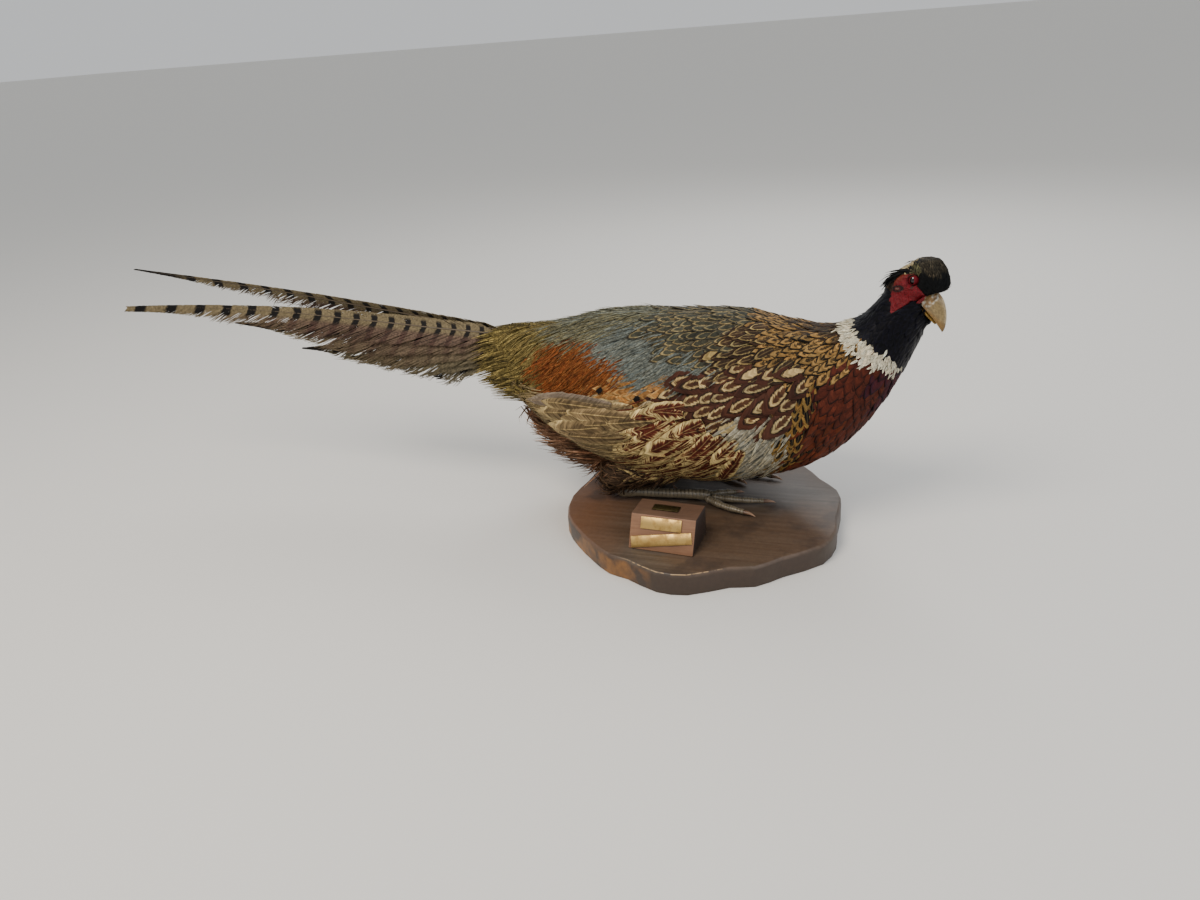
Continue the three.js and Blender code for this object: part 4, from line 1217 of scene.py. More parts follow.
def make_wattles(skin):
    """Bare skin, dried and painted: crimson, finely wrinkled and covered in small warts."""
    made, node, shade = new_material("wattle skin, dried and painted")
    tint = node("Attribute", attribute_name="skin")["Color"]
    place = node("Attribute", attribute_name="place")["Vector"]
    warts = node("TexVoronoi", {"Vector": place, "Scale": 1.5})["Distance"]
    mottle = node("TexNoise", {"Vector": place, "Scale": 0.6, "Detail": 4.0})[0]
    # Painted light and shade: the colour is lighter on the warts' tops and darker in the hollows between
    # them.
    wart_light_and_shade = node("MapRange", {"Value": warts, "To Min": 1.25, "To Max": 0.45})[0]
    tone = node("MapRange", {"Value": mottle, "To Min": 0.55, "To Max": 1.45})[0]
    tone = node("Math", {0: tone, 1: wart_light_and_shade}, operation="MULTIPLY")[0]
    colour = node("VectorMath", {0: tint, "Scale": tone}, operation="SCALE")[0]
    bump = node("Bump", {"Height": warts, "Strength": 0.6, "Distance": 0.5 * MM}, invert=True)[0]
    shade({
        "Base Color": colour, "Normal": bump, "Roughness": 0.55, "Specular IOR Level": 0.25,
        "Subsurface Weight": 0.04, "Subsurface Radius": (1.5 * MM, 0.4 * MM, 0.3 * MM),
    })
    loop = np.array(WATTLE, float)
    loop = along(np.concatenate([loop[-2:], loop, loop[:3]]), 2 + np.linspace(0, len(WATTLE), 129)[:-1])
    middle = np.array([-4.5, -6.0])
    shares = np.linspace(0.02, 1.0, 46)
    x = middle[0] + (loop[None, :, 0] - middle[0]) * shares[:, None]
    z = middle[1] + (loop[None, :, 1] - middle[1]) * shares[:, None]
    for name, side in SIDES:
        grid = wattle_surface(skin, side, x, z)
        rim = ramp(1.0, 0.86, shares)[:, None]
        lens = eye_distance(x, z)
        puff = 1.5 * np.sin(np.pi / 2 * rim) + 0.5 * rim
        wrinkle = ripple(grid, 0.35, 3) * 0.55 + ripple(grid, 0.9, 4) * 0.3 + ripple(grid, 1.9, 5) * 0.12
        folds = 0.3 * np.sin(grid[..., 2] * 2.2 + grid[..., 0] * 1.2 + ripple(grid, 0.2, 6) * 4)
        puff = puff * (1 + 0.35 * wrinkle) + (wrinkle + folds * (grid[..., 2] < -6)) * rim * 0.6
        puff += 1.0 * np.exp(-((lens - 1.7) / 0.45) ** 2) * rim
        puff -= 4.5 * (1 - ramp(0.75, 1.15, lens))
        puff -= 0.8 * (1 - rim)
        grid[..., 1] += side * puff
        tint = np.tile(bpy.context.scene.pheasant_colours.wattle, (*x.shape, 1))
        tint = painted(tint, ramp(-12, -17, grid[..., 0] + ripple(grid, 0.3, 7) * 2) * 0.8, "#6e3422")
        tint = painted(tint, ramp(-21, -28, grid[..., 2]) * 0.7, "#8f3638")
        tint = painted(tint, 1.1 * np.exp(-((lens - 1.45) / 0.5) ** 2) * (grid[..., 2] > 0), "#3d2a24")
        # Painted shade: the skin that sinks in under the lids, round the eye's opening, is painted nearly
        # black.
        tint = painted(tint, 1 - ramp(0.9, 1.2, lens), "#1c1412")
        # The ear: a ring of short dark feathers round a paler middle.
        ear = np.hypot((grid[..., 0] + 10.2 - 0.4 * (grid[..., 2] + 9)) / 2.8, (grid[..., 2] + 9) / 4.6)
        tint = painted(tint, np.exp(-((ear - 0.8) / 0.38) ** 2) * 1.1, "#1d1614")
        tint = painted(tint, ramp(0.45, 0.15, ear) * 0.8, "#6a5a4c")
        points = from_head(grid.reshape(-1, 3) * MM)
        quads = grid_quads(len(shares), len(loop), side > 0)
        piece = mesh_object("wattle_skin_" + name, points, quads, made)
        set_colours(piece.data, "skin", tint.reshape(-1, 3))
        set_vectors(piece.data, "place", grid.reshape(-1, 3))
        settle(piece, "bare_skin", "wattle_" + name)


def eye_distance(x, z):
    """How far places in the head's frame are from the eye, where 1 is the edge of its opening."""
    sizes = bpy.context.scene.pheasant_sizes
    dx = (x - EYE_AT[0]) * MM * HALF_TURN
    dz = (z - EYE_AT[2]) * MM * HALF_TURN
    return np.hypot((dx - dz) / sizes.lid_long, (dx + dz) / sizes.lid_wide)


def make_eyes(skin):
    """Eyes of blown glass, with a black pupil and a dark brown iris, and the dried lids round them."""
    made, node, shade = new_material("eye glass, blown and painted behind")
    gaze = node("Attribute", attribute_name="gaze")["Vector"]
    part = node("SeparateXYZ", {0: gaze})
    threads = node("TexNoise", {"Vector": gaze, "Scale": 6.0, "Detail": 3.0})[0]
    rim = node("MapRange", {"Value": part[0], "From Min": 0.52, "From Max": 0.6})[0]
    iris = node(
        "Mix", {0: threads, 6: rgba("#120804"), 7: (*bpy.context.scene.pheasant_colours.iris, 1)},
        data_type="RGBA")[2]
    colour = node("Mix", {0: rim, 6: rgba("#020202"), 7: iris}, data_type="RGBA")[2]
    shade({"Base Color": colour, "Roughness": 0.04, "Coat Weight": 0.4, "Coat Roughness": 0.02})
    lid_paint, node, shade = new_material("eyelid skin, dried")
    creases = node("TexNoise", {"Scale": 900.0, "Detail": 3.0})[0]
    colour = node("Mix", {0: creases, 6: rgba("#3c0910"), 7: rgba("#78111d")}, data_type="RGBA")[2]
    shade({"Base Color": colour, "Roughness": 0.65, "Specular IOR Level": 0.2})
    sizes = bpy.context.scene.pheasant_sizes
    radius = sizes.eye_radius / MM
    rings, lid_rings, sides = 40, 13, 48
    spin = np.linspace(0, 2 * np.pi, sides, endpoint=False)
    for name, side in SIDES:
        tilt = np.linspace(0.001, np.pi, rings)[:, None]
        bulge = radius * (1 + 0.06 * np.exp(-((tilt / 0.5) ** 2)))
        ball = np.stack([
            EYE_AT[0] + bulge * np.sin(tilt) * np.cos(spin),
            side * (EYE_AT[1] + bulge * np.cos(tilt) * np.ones(sides)),
            EYE_AT[2] + bulge * np.sin(tilt) * np.sin(spin),
        ], -1)
        piece = mesh_object(
            "eye_ball_" + name, from_head(ball.reshape(-1, 3) * MM), grid_quads(rings, sides, side < 0),
            made)
        gaze = [np.repeat(tilt, sides), np.tile(np.cos(spin) * 3, rings), np.tile(np.sin(spin) * 3, rings)]
        set_vectors(piece.data, "gaze", np.stack(gaze, 1))
        settle(piece, "eye_glass", "eye_" + name)
        # Both lids are one shell, thickest at the edge of its opening, which leaves the ball for the cheek.
        roll = np.linspace(0, 1, lid_rings)[:, None]
        up = np.cos(spin) * sizes.lid_long / MM
        over = np.sin(spin) * sizes.lid_wide / MM
        dx = (up + over) * HALF_TURN
        dz = (over - up) * HALF_TURN
        x = dx * (1 - roll) + LID_REACH * np.cos(spin - np.pi / 4) * roll
        z = dz * (1 - roll) + LID_REACH * np.sin(spin - np.pi / 4) * roll
        surface = np.sqrt(np.maximum(radius**2 - x**2 - z**2, 0.1))
        bumps = ripple(np.stack([x, z, x * 0], -1), 1.3, 9)
        puff = 0.12 + 0.6 * np.exp(-(((roll - 0.12) / 0.12) ** 2)) + 0.3 * roll + 0.12 * bumps
        cheek = wattle_surface(skin, side, EYE_AT[0] + x, EYE_AT[2] + z)[..., 1]
        cheek = np.abs(cheek) + LID_RISE - LID_FALL * roll
        out = EYE_AT[1] + surface
        out = np.maximum(out, cheek) + 0.3 * np.exp(-(((out - cheek) / 1.2) ** 2)) + puff
        ring = np.stack([EYE_AT[0] + x, side * out, EYE_AT[2] + z], -1)
        piece = mesh_object(
            "eyelids_" + name, from_head(ring.reshape(-1, 3) * MM), grid_quads(lid_rings, sides, side > 0),
            lid_paint)
        settle(piece, "bare_skin", "eye_" + name)


def make_tufts(skin, rng, material):
    """The stiff black ear tufts, which stand out behind the bare skin."""
    for name, side in SIDES:
        count = 70
        share = rng.random(count)
        starts = np.stack([
            -16 - 3.5 * share + rng.normal(0, 0.7, count),
            np.full(count, 12.5 * side),
            6.5 - 13 * share + rng.normal(0, 0.9, count),
        ], 1)
        roots, _ = skin.rest(from_head(starts * MM))
        ways = np.array([-4.0, 4.5 * side, -14]) + rng.normal(0, 1.3, (count, 3))
        ways = unit(ways @ HEAD_TURN.T)
        made = vanes(
            "ear_tuft_feathers_" + name, skin, roots, ways, MM * rng.uniform(8, 15, count),
            np.full(count, 1.5 * MM), rng, material, rows=5, columns=2, shape=strand_vane, lift=0.42,
            base=0.3, camber=0.5, colours=dict.fromkeys(PAINTS, linear("#0b0b0c")))
        settle(made, "head_feathers", "ear_tuft_" + name)


# ---- feet

# The right leg: stations of the shank, x, y, z and radius in millimetres, and of each toe.
SHANK = [
    (-80, -2, 27.2, 5), (-74, -2, 27.6, 6.4), (-60, -1, 27.4, 4.9), (-30, 1, 27, 4.3), (-6, 3.4, 27, 4.8),
    (3, 4, 26.8, 5.4), (8, 4.4, 26, 4.2),
]
TOES = {
    "inner": ((8.4, 8.8, 25.2), (20, 15.5, 25), (29, 21, 23.6), (37, 26, 21.4)),
    "middle": ((13.6, 4, 25.2), (36, 3, 25), (58, 7.6, 23.4), (69, 11, 21.2)),
    "outer": ((8.8, -1.6, 25.2), (25, -12, 25), (44, -17, 23.6), (55, -20, 21.4)),
    "hind": ((-3, 9.4, 25), (-8, 13.6, 24.4), (-12, 17, 23), (-16, 20.6, 21.2)),
}
TOE_RADII = (3.5, 3, 2.4)
TOE_SCUTE = 2.6  # length of the scales on a toe, in millimetres
RING_PITCH = 0.45  # from one ring of a limb's mesh to the next, in millimetres
SPUR = ((-22, 4, 28.2, 2.6), (-26.4, 8.2, 29, 1.7), (-29, 12, 30.4, 0.4))


def on_side(points, side):
    points = np.array(points, float)
    if side > 0:
        points[..., 1] = 2 * MIDDLE / MM - points[..., 1]
    return points


def scaled_limb(name, centres, radii, scute, material, squash=1.0, sides=28):
    """A limb with raised scales across its top, and a pebbled sole."""
    length = np.concatenate([[0], np.cumsum(np.linalg.norm(np.diff(centres, axis=0), axis=1))])
    rings = int(length[-1] / RING_PITCH)
    where = np.linspace(0, length[-1], rings)
    centres = np.stack([np.interp(where, length, centres[:, k]) for k in range(3)], 1)
    radii = np.interp(where, length, radii)
    spin = np.linspace(0, 2 * np.pi, sides, endpoint=False)
    top = ramp(-0.35, 0.25, np.cos(spin))[None]
    skew = where[:, None] / scute + 0.16 * np.cos(spin * 2)[None] + 0.1 * np.sin(spin)[None]
    phase = skew % 1
    step = 0.6 * phase**0.7 - 0.7 * np.exp(-((phase - 0.02) / 0.06) ** 2)
    cells = np.cos(spin * 9)[None] * np.cos(where[:, None] * 3.2) * 0.14
    swell = step * top + cells * (1 - top)
    ahead = unit(np.gradient(centres, axis=0))
    across = unit(np.cross(ahead, (0, 0, 1)))
    up = np.cross(across, ahead)
    ring = across[:, None] * np.sin(spin)[:, None] + up[:, None] * (squash * np.cos(spin))[:, None]
    reach = radii[:, None] + swell * np.minimum(1, radii / 4)[:, None]
    points = centres[:, None] + ring * reach[..., None]
    made = mesh_object(name, points * MM, grid_quads(rings, sides), material)
    groove = np.exp(-((phase - 0.02) / 0.09) ** 2) * top
    set_vectors(made.data, "scale", np.stack([
        groove.ravel(), np.broadcast_to(top, phase.shape).ravel(), np.floor(skew).ravel() * 0.37,
    ], 1))
    return made


def leg_material():
    """Scaled skin, dried and waxed: each scale has its own tone from dark brown to dull buff, and the
    grooves between them are nearly black."""
    made, node, shade = new_material("leg scales, dried and waxed")
    scale = node("Attribute", attribute_name="scale")["Vector"]
    part = node("SeparateXYZ", {0: scale})
    noise = node("TexNoise", {"Scale": 420.0, "Detail": 4.0})[0]
    chance = node("TexWhiteNoise", {"W": part[2]}, noise_dimensions="1D")[0]
    mixed = node("Math", {0: noise, 1: 0.75, 2: 0.0}, operation="MULTIPLY_ADD")[0]
    mixed = node("Math", {0: chance, 1: 0.3, 2: mixed}, operation="MULTIPLY_ADD")[0]
    ground = node("Mix", {0: mixed, 6: rgba("#2e2820"), 7: rgba("#8c7f66")}, data_type="RGBA")[2]
    colour = node("Mix", {0: part[0], 6: ground, 7: rgba("#15110f")}, data_type="RGBA")[2]
    bump = node("Bump", {"Height": noise, "Strength": 0.25, "Distance": 0.3 * MM})[0]
    shade({
        "Base Color": colour, "Normal": bump, "Roughness": 0.34, "Coat Weight": 0.4,
        "Coat Roughness": 0.22,
    })
    return made


def claw_material():
    """Claw horn, worn smooth: brown at the root, paler and pinkish at the tip."""
    made, node, shade = new_material("claw horn, worn smooth")
    worn = node("Attribute", attribute_name="worn")["Fac"]
    colour = node("Mix", {0: worn, 6: rgba("#4e3a2c"), 7: rgba("#a07c60")}, data_type="RGBA")[2]
    grain = node("TexNoise", {"Scale": 700.0, "Detail": 3.0})[0]
    bump = node("Bump", {"Height": grain, "Strength": 0.2, "Distance": 0.2 * MM})[0]
    shade({"Base Color": colour, "Normal": bump, "Roughness": 0.35})
    return made


def horn_tip(name, centres, radii, sides, material, worn, flatten=1.0):
    """A claw or a spur, which is more worn towards its tip."""
    made = tube(name, centres * MM, radii * MM, sides, material, flatten)
    layer = made.data.attributes.new("worn", "FLOAT", "POINT")
    layer.data.foreach_set("value", np.repeat(worn, sides).astype(np.float32))
    return made


def make_feet():
    scales = leg_material()
    horn = claw_material()
    for name, side in SIDES:
        rows = np.array(SHANK, float)
        fine = along(rows, np.linspace(0, len(rows) - 1, 60))
        fine[:, :3] = on_side(fine[:, :3], side)
        scute = bpy.context.scene.pheasant_sizes.scute / MM
        leg = scaled_limb("tarsus_" + name, fine[:, :3], fine[:, 3], scute, scales)
        settle(leg, "leg_scales", "shank_" + name)
        for toe, path in TOES.items():
            fine = along(np.array([(*p, r) for p, r in zip(path[:3], TOE_RADII)]), np.linspace(0, 2, 40))
            fine[:, :3] = on_side(fine[:, :3], side)
            start = fine[0, :3] - unit(fine[4, :3] - fine[0, :3]) * 3.5
            centres = np.concatenate([[start], fine[:, :3]])
            radii = np.concatenate([[2.6], fine[:, 3]])
            joints = 1 + 0.1 * np.cos(np.linspace(0, 3 * 2 * np.pi, len(radii)))
            made = scaled_limb(
                f"toe_{toe}_{name}_scaled", centres, radii * joints, TOE_SCUTE, scales, squash=0.92,
                sides=22)
            settle(made, "leg_scales", f"toe_{toe}_{name}")
            end, tip = on_side([path[2], path[3]], side)
            before = on_side([path[1]], side)[0]
            s = np.linspace(-0.12, 1, 22)[:, None]
            bend = end + unit(end - before) * np.linalg.norm(tip - end) * 0.55 + np.array([0, 0, 1.0])
            curve = end * (1 - s) ** 2 + bend * 2 * s * (1 - s) + tip * s**2
            size = 2.1 * (1 - np.clip(s[:, 0], 0, 1) ** 1.4) + 0.18
            claw = horn_tip(f"claw_{toe}_{name}_horn", curve, size, 14, horn, np.clip(s[:, 0], 0, 1), 0.85)
            settle(claw, "claw", f"claw_{toe}_{name}")
        rows = along(np.array(SPUR), np.linspace(0, 2, 16))
        rows[:, :3] = on_side(rows[:, :3], side)
        spur = horn_tip("spur_" + name + "_horn", rows[:, :3], rows[:, 3], 12, horn, np.linspace(0, 1, 16))
        settle(spur, "claw", "spur_" + name)


# ---- stand


def soft_edged(name, node, edge, material, slot, corner=30):
    """A copy of a CAD node's mesh with its sharp edges rounded."""
    made = cad_copy(name, [node])
    weld = made.modifiers.new("Weld", "WELD")
    weld.merge_threshold = 0.01 * MM
    bevel = made.modifiers.new("Bevel", "BEVEL")
    bevel.width = edge
    bevel.segments = 3
    bevel.limit_method = "ANGLE"
    bevel.angle_limit = math.radians(corner)
    mesh = applied(made)
    mesh.polygons.foreach_set("use_smooth", np.full(len(mesh.polygons), True))
    mesh.set_sharp_from_angle(angle=math.radians(35))
    mesh.materials.append(material)
    return settle(made, slot, node)


def slab_material():
    """Softwood across a trunk, stained dark and varnished: grey brown with warmer patches, fine grain
    along X, a worn pale line on its front edge and an orange figure on its left front side."""
    made, node, shade = new_material("slab wood, stained and varnished")
    place = node("TexCoord")["Object"]
    normal = node("NewGeometry")["Normal"]
    tilt = node("SeparateXYZ", {0: normal})[2]
    stretched = node("Mapping", {0: place, "Scale": (14.0, 260.0, 120.0)})[0]
    grain = node("TexNoise", {"Vector": stretched, "Scale": 1.0, "Detail": 6.0})[0]
    blots = node("TexNoise", {"Vector": place, "Scale": 9.0, "Detail": 5.0})[0]
    stains = node("TexNoise", {"Vector": place, "Scale": 26.0, "Detail": 6.0})[0]
    specks = node("TexNoise", {"Vector": place, "Scale": 240.0, "Detail": 4.0})[0]
    x = node("SeparateXYZ", {0: place})[0]
    shares = []
    for value, low, high, top in (
            (grain, 0.35, 0.68, 1.0), (blots, 0.44, 0.56, 0.55), (stains, 0.58, 0.68, 0.7),
            (tilt, 0.5, 0.2, 1.0), (stains, 0.42, 0.54, 0.9), (x, -0.015, -0.03, 1.0),
            (tilt, 0.52, 0.62, 1.0), (tilt, 0.88, 0.8, 1.0), (specks, 0.4, 0.5, 1.0),
            (x, 0.045, 0.035, 1.0), (x, -0.05, -0.03, 1.0), (x, -0.04, -0.1, 0.75)):
        spread = {"Value": value, "From Min": low, "From Max": high, "To Max": top}
        shares.append(node("MapRange", spread)[0])
    fibre, warm, stained, side, figure, left, above, below, chipped, worn_right, worn_left, ruddy = shares
    for factor in (side, left):
        figure = node("Math", {0: figure, 1: factor}, operation="MULTIPLY")[0]
    for factor in (below, chipped, worn_right, worn_left):
        above = node("Math", {0: above, 1: factor}, operation="MULTIPLY")[0]
    colour = rgba("#3f3327")
    paints = (
        (fibre, "#564a3e"), (warm, "#523a25"), (ruddy, "#664227"), (stained, "#33261d"), (side, "#38291d"),
        (figure, "#8a5c28"), (above, "#a88a60"))
    for share, code in paints:
        colour = node("Mix", {0: share, 6: colour, 7: rgba(code)}, data_type="RGBA")[2]
    tone = node("MapRange", {"Value": specks, "To Min": 0.75, "To Max": 1.25})[0]
    colour = node("VectorMath", {0: colour, "Scale": tone}, operation="SCALE")[0]
    height = node("Math", {0: grain, 1: specks}, operation="ADD")[0]
    bump = node("Bump", {"Height": height, "Strength": 0.35, "Distance": 0.5 * MM})[0]
    gloss = node("MapRange", {"Value": blots, "To Min": 0.42, "To Max": 0.7})[0]
    shade({
        "Base Color": colour, "Normal": bump, "Roughness": gloss, "Coat Weight": 0.2,
        "Coat Roughness": 0.25,
    })
    return made


def block_material():
    """Mahogany, sawn and oiled: fine straight grain, with painted light that makes its front paler and
    reddish, a darker shaded copy of the wood elsewhere, and painted shade that makes its right end nearly
    black.
    """
    made, node, shade = new_material("block mahogany, sawn and oiled")
    place = node("TexCoord")["Object"]
    normal = node("NewGeometry")["Normal"]
    facing = node("SeparateXYZ", {0: normal})
    stretched = node("Mapping", {0: place, "Scale": (30.0, 700.0, 700.0)})[0]
    grain = node("TexNoise", {"Vector": stretched, "Scale": 1.0, "Detail": 5.0})[0]
    blots = node("TexNoise", {"Vector": place, "Scale": 60.0, "Detail": 3.0})[0]
    # Painted light: the front takes a paler, redder copy of the wood.
    front = node("MapRange", {"Value": facing[1], "From Min": -0.3, "From Max": -0.7})[0]
    # Painted shade: the right end alone is painted nearly black.
    end = node("MapRange", {"Value": facing[0], "From Min": 0.3, "From Max": 0.7})[0]
    lit_and_shaded_woods = []
    for pale, deep in (("#8f6a4c", "#6b4630"), ("#6b5140", "#463226")):
        lit_and_shaded_woods.append(node("Mix", {0: grain, 6: rgba(deep), 7: rgba(pale)}, data_type="RGBA")[2])
    colour = lit_and_shaded_woods[1]
    for share, paint in ((front, lit_and_shaded_woods[0]), (end, rgba("#2c1f19"))):
        colour = node("Mix", {0: share, 6: colour, 7: paint}, data_type="RGBA")[2]
    tone = node("MapRange", {"Value": blots, "To Min": 0.7, "To Max": 1.3})[0]
    colour = node("VectorMath", {0: colour, "Scale": tone}, operation="SCALE")[0]
    bump = node("Bump", {"Height": grain, "Strength": 0.3, "Distance": 0.3 * MM})[0]
    shade({"Base Color": colour, "Normal": bump, "Roughness": 0.46})
    return made


def brass_material(name, clean, aged, roughness):
    """Rolled brass: brushed fine along its length, and tarnished in blots."""
    made, node, shade = new_material(name)
    place = node("TexCoord")["Object"]
    stretched = node("Mapping", {0: place, "Scale": (60.0, 3000.0, 3000.0)})[0]
    lines = node("TexNoise", {"Vector": stretched, "Scale": 1.0, "Detail": 2.0})[0]
    blots = node("TexNoise", {"Vector": place, "Scale": 170.0, "Detail": 5.0})[0]
    share = node("MapRange", {"Value": blots, "From Min": 0.45, "From Max": 0.65})[0]
    colour = node("Mix", {0: share, 6: rgba(clean), 7: rgba(aged)}, data_type="RGBA")[2]
    shine = node("MapRange", {"Value": share, "To Min": roughness, "To Max": roughness + 0.2})[0]
    bump = node("Bump", {"Height": lines, "Strength": 0.12, "Distance": 0.1 * MM})[0]
    shade({"Base Color": colour, "Roughness": shine, "Normal": bump, "Metallic": 1.0})
    return made


# ---- stage

# The camera's place, and the directions to its right and up, in metres from the slab's middle.
CAMERA_AT = MM * np.array([177.5, -754.9, 436.6])
CAMERA_RIGHT = (0.9481, 0.3092, -0.0734)
CAMERA_UP = (-0.0662, 0.4180, 0.9060)
CAMERA_LENS = 27.6  # millimetres, on a 36 mm sensor
FLOOR_REACH = 60.0
BIRD_MIDDLE = (0, 0.03, 0.12)


def make_camera():
    data = bpy.data.cameras.new("camera")
    data.sensor_width = 36
    data.lens = CAMERA_LENS
    data.clip_start = 0.01
    made = add_object("camera", data)
    right = Vector(CAMERA_RIGHT).normalized()
    back = right.cross(Vector(CAMERA_UP)).normalized()
    up = back.cross(right)
    turn = Matrix((right, up, back)).transposed().to_4x4()
    made.matrix_world = Matrix.Translation(Vector(CAMERA_AT)) @ turn
    bpy.context.scene.camera = made


def add_light(name, at, size, power, colour):
    data = bpy.data.lights.new(name, "AREA")
    data.shape = "DISK"
    data.size = size
    data.energy = power
    data.color = linear(colour)
    made = add_object(name, data)
    at = Vector(at)
    aim = (at - Vector(BIRD_MIDDLE)).to_track_quat("Z", "Y").to_matrix().to_4x4()
    made.matrix_world = Matrix.Translation(at) @ aim


def make_floor(colour):
    made, node, shade = new_material("matt paper, rolled out")
    fibres = node("TexNoise", {"Scale": 300.0, "Detail": 3.0})[0]
    bump = node("Bump", {"Height": fibres, "Strength": 0.05, "Distance": 0.1 * MM})[0]
    shade({"Normal": bump, "Base Color": (*colour, 1), "Roughness": 0.9, "Specular IOR Level": 0.1})
    mesh = bpy.data.meshes.new("floor")
    r = FLOOR_REACH
    mesh.from_pydata([(-r, -r, 0), (r, -r, 0), (r, r, 0), (-r, r, 0)], [], [(0, 1, 2, 3)])
    mesh.materials.append(made)
    add_object("floor", mesh)


# ---- the add-on


def size_property(name, description, value):
    return bpy.props.FloatProperty(name=name, description=description, default=value * MM, unit="LENGTH")


def colour_property(name, description, code):
    return bpy.props.FloatVectorProperty(
        name=name, description=description, subtype="COLOR", default=linear(code), min=0, max=1)


class PheasantSizes(bpy.types.PropertyGroup):
    """Sizes that a user may change before building the bird."""

    bar_pitch: size_property("Bar pitch", "From one dark bar of the tail to the next", 25)
    barb_gap: size_property("Barb gap", "From one barb of a tail feather to the next", 1.05)
    scute: size_property("Scale length", "Length of a scale on the shank", 3.6)
    eye_radius: size_property("Eye radius", "Radius of the glass eye", 5.2)
    lid_long: size_property("Eye opening length", "Half the length of the eye's opening", 3.1)
    lid_wide: size_property("Eye opening height", "Half the height of the eye's opening", 1.8)
    voxel: size_property("Skin cell", "Size of the cells that the skin is remeshed with", 2.3)


class PheasantColours(bpy.types.PropertyGroup):
    """Colours that a user may change before building the bird."""

    wattle: colour_property("Wattle", "The bare skin round the eye", "#6a0914")
    iris: colour_property("Iris", "The eye's painted ring", "#3a1d0c")
    horn: colour_property("Bill", "The bill's horn", "#7d6a45")
    floor: colour_property("Floor", "The paper under the stand", "#dcdad5")


BIRD = {}  # holds the skin, which most of the operators need


def skin_of():
    if "skin" not in BIRD:
        raise RuntimeError("the skin is made first")
    return BIRD["skin"]


def draws(seed):
    return np.random.default_rng(seed)


def plumage(name):
    """The feather material of that name, made when it is first asked for."""
    return bpy.data.materials.get(name) or feather_material(name)


def contour():
    return plumage("body feathers, contour vanes")


def downy():
    return plumage("loose feathers, hairlike barbs")


class PHEASANT_OT_stage(bpy.types.Operator):
    """Adds the camera, the lights and a plain paper floor"""

    bl_idname = "pheasant.stage"
    bl_label = "Stage"

    def execute(self, context):
        make_camera()
        make_floor(context.scene.pheasant_colours.floor)
        world = bpy.data.worlds.new("studio")
        context.scene.world = world
        world.use_nodes = True
        background = world.node_tree.nodes["Background"]
        background.inputs["Color"].default_value = rgba("#eceef0")
        background.inputs["Strength"].default_value = 0.75
        add_light("key", (-0.5, -0.9, 1.5), 0.9, 22, "#fff4e6")
        add_light("fill", (1.2, -0.7, 0.9), 1.2, 7, "#eef3ff")
        add_light("rim", (0.1, 1.2, 1.2), 0.9, 9, "#ffffff")
        return {"FINISHED"}


class PHEASANT_OT_skin(bpy.types.Operator):
    """Makes the one skin that stands for all the solids of flesh"""

    bl_idname = "pheasant.skin"
    bl_label = "Skin"

    def execute(self, context):
        made, node, shade = new_material("feathered skin, dried")
        coat_colour = node("Attribute", attribute_name="coat")["Color"]
        creases = node("TexNoise", {"Scale": 350.0, "Detail": 4.0})[0]
        tone = node("MapRange", {"Value": creases, "To Min": 0.5, "To Max": 1.1})[0]
        dark = node("VectorMath", {0: coat_colour, "Scale": tone}, operation="SCALE")[0]
        shade({"Base Color": dark, "Roughness": 0.8})
        piece = make_skin(made)
        BIRD["skin"] = Skin(piece)
        paint_skin(BIRD["skin"], draws(7))
        settle(piece, "body_feathers", *FLESH)
        return {"FINISHED"}


class PHEASANT_OT_body_feathers(bpy.types.Operator):
    """Lays the feathers of the neck, breast, back and rump over the skin"""

    bl_idname = "pheasant.body_feathers"
    bl_label = "Body feathers"

    def execute(self, context):
        skin = skin_of()
        rng = draws(11)
        body = contour()
        loose = downy()
        glossy = feather_material("neck feathers, iridescent", roughness=0.45, metallic=0.3)
        trunk = ("body_feathers", ["trunk"], rng)
        coat(
            "neck_feathers", skin, ["neck"], glossy, "neck_feathers", ["neck"], rng, rows=4, columns=4,
            layer=0.9 * MM)
        coat(
            "collar_feathers", skin, ["collar"], body, "neck_feathers", ["neck"], rng, rows=5, columns=2,
            wander=16, layer=1.3 * MM, lift=0.12)
        coat("mantle_feathers", skin, ["nape_edge", "mantle", "scapular"], body, *trunk)
        coat("breast_feathers", skin, ["breast", "breast_front", "breast_low", "belly"], body, *trunk)
        coat("back_feathers", skin, ["lower_back"], body, *trunk)
        coat("saddle_feathers", skin, ["saddle"], loose, *trunk, hair=True)
        coat("rump_feathers", skin, ["rump", "rump_side"], loose, *trunk, hair=True, tone=0.2)
        coat("tail_covert_feathers", skin, ["tail_cover"], loose, "body_feathers", ["tail_coverts"], rng,
             hair=True, tone=0.32)
        tail_root_strands(skin, rng, loose)
        coat("vent_fluff", skin, ["vent"], loose, "vent_feathers", ["vent_feathers"], rng, hair=True,
             lift=0.42, wander=24, tone=0.35)
        coat(
            "thigh_fluff", skin, ["thigh"], loose, "leg_feathers", ["thigh_right", "thigh_left"], rng,
            hair=True, lift=0.32, wander=22, tone=0.3)
        return {"FINISHED"}


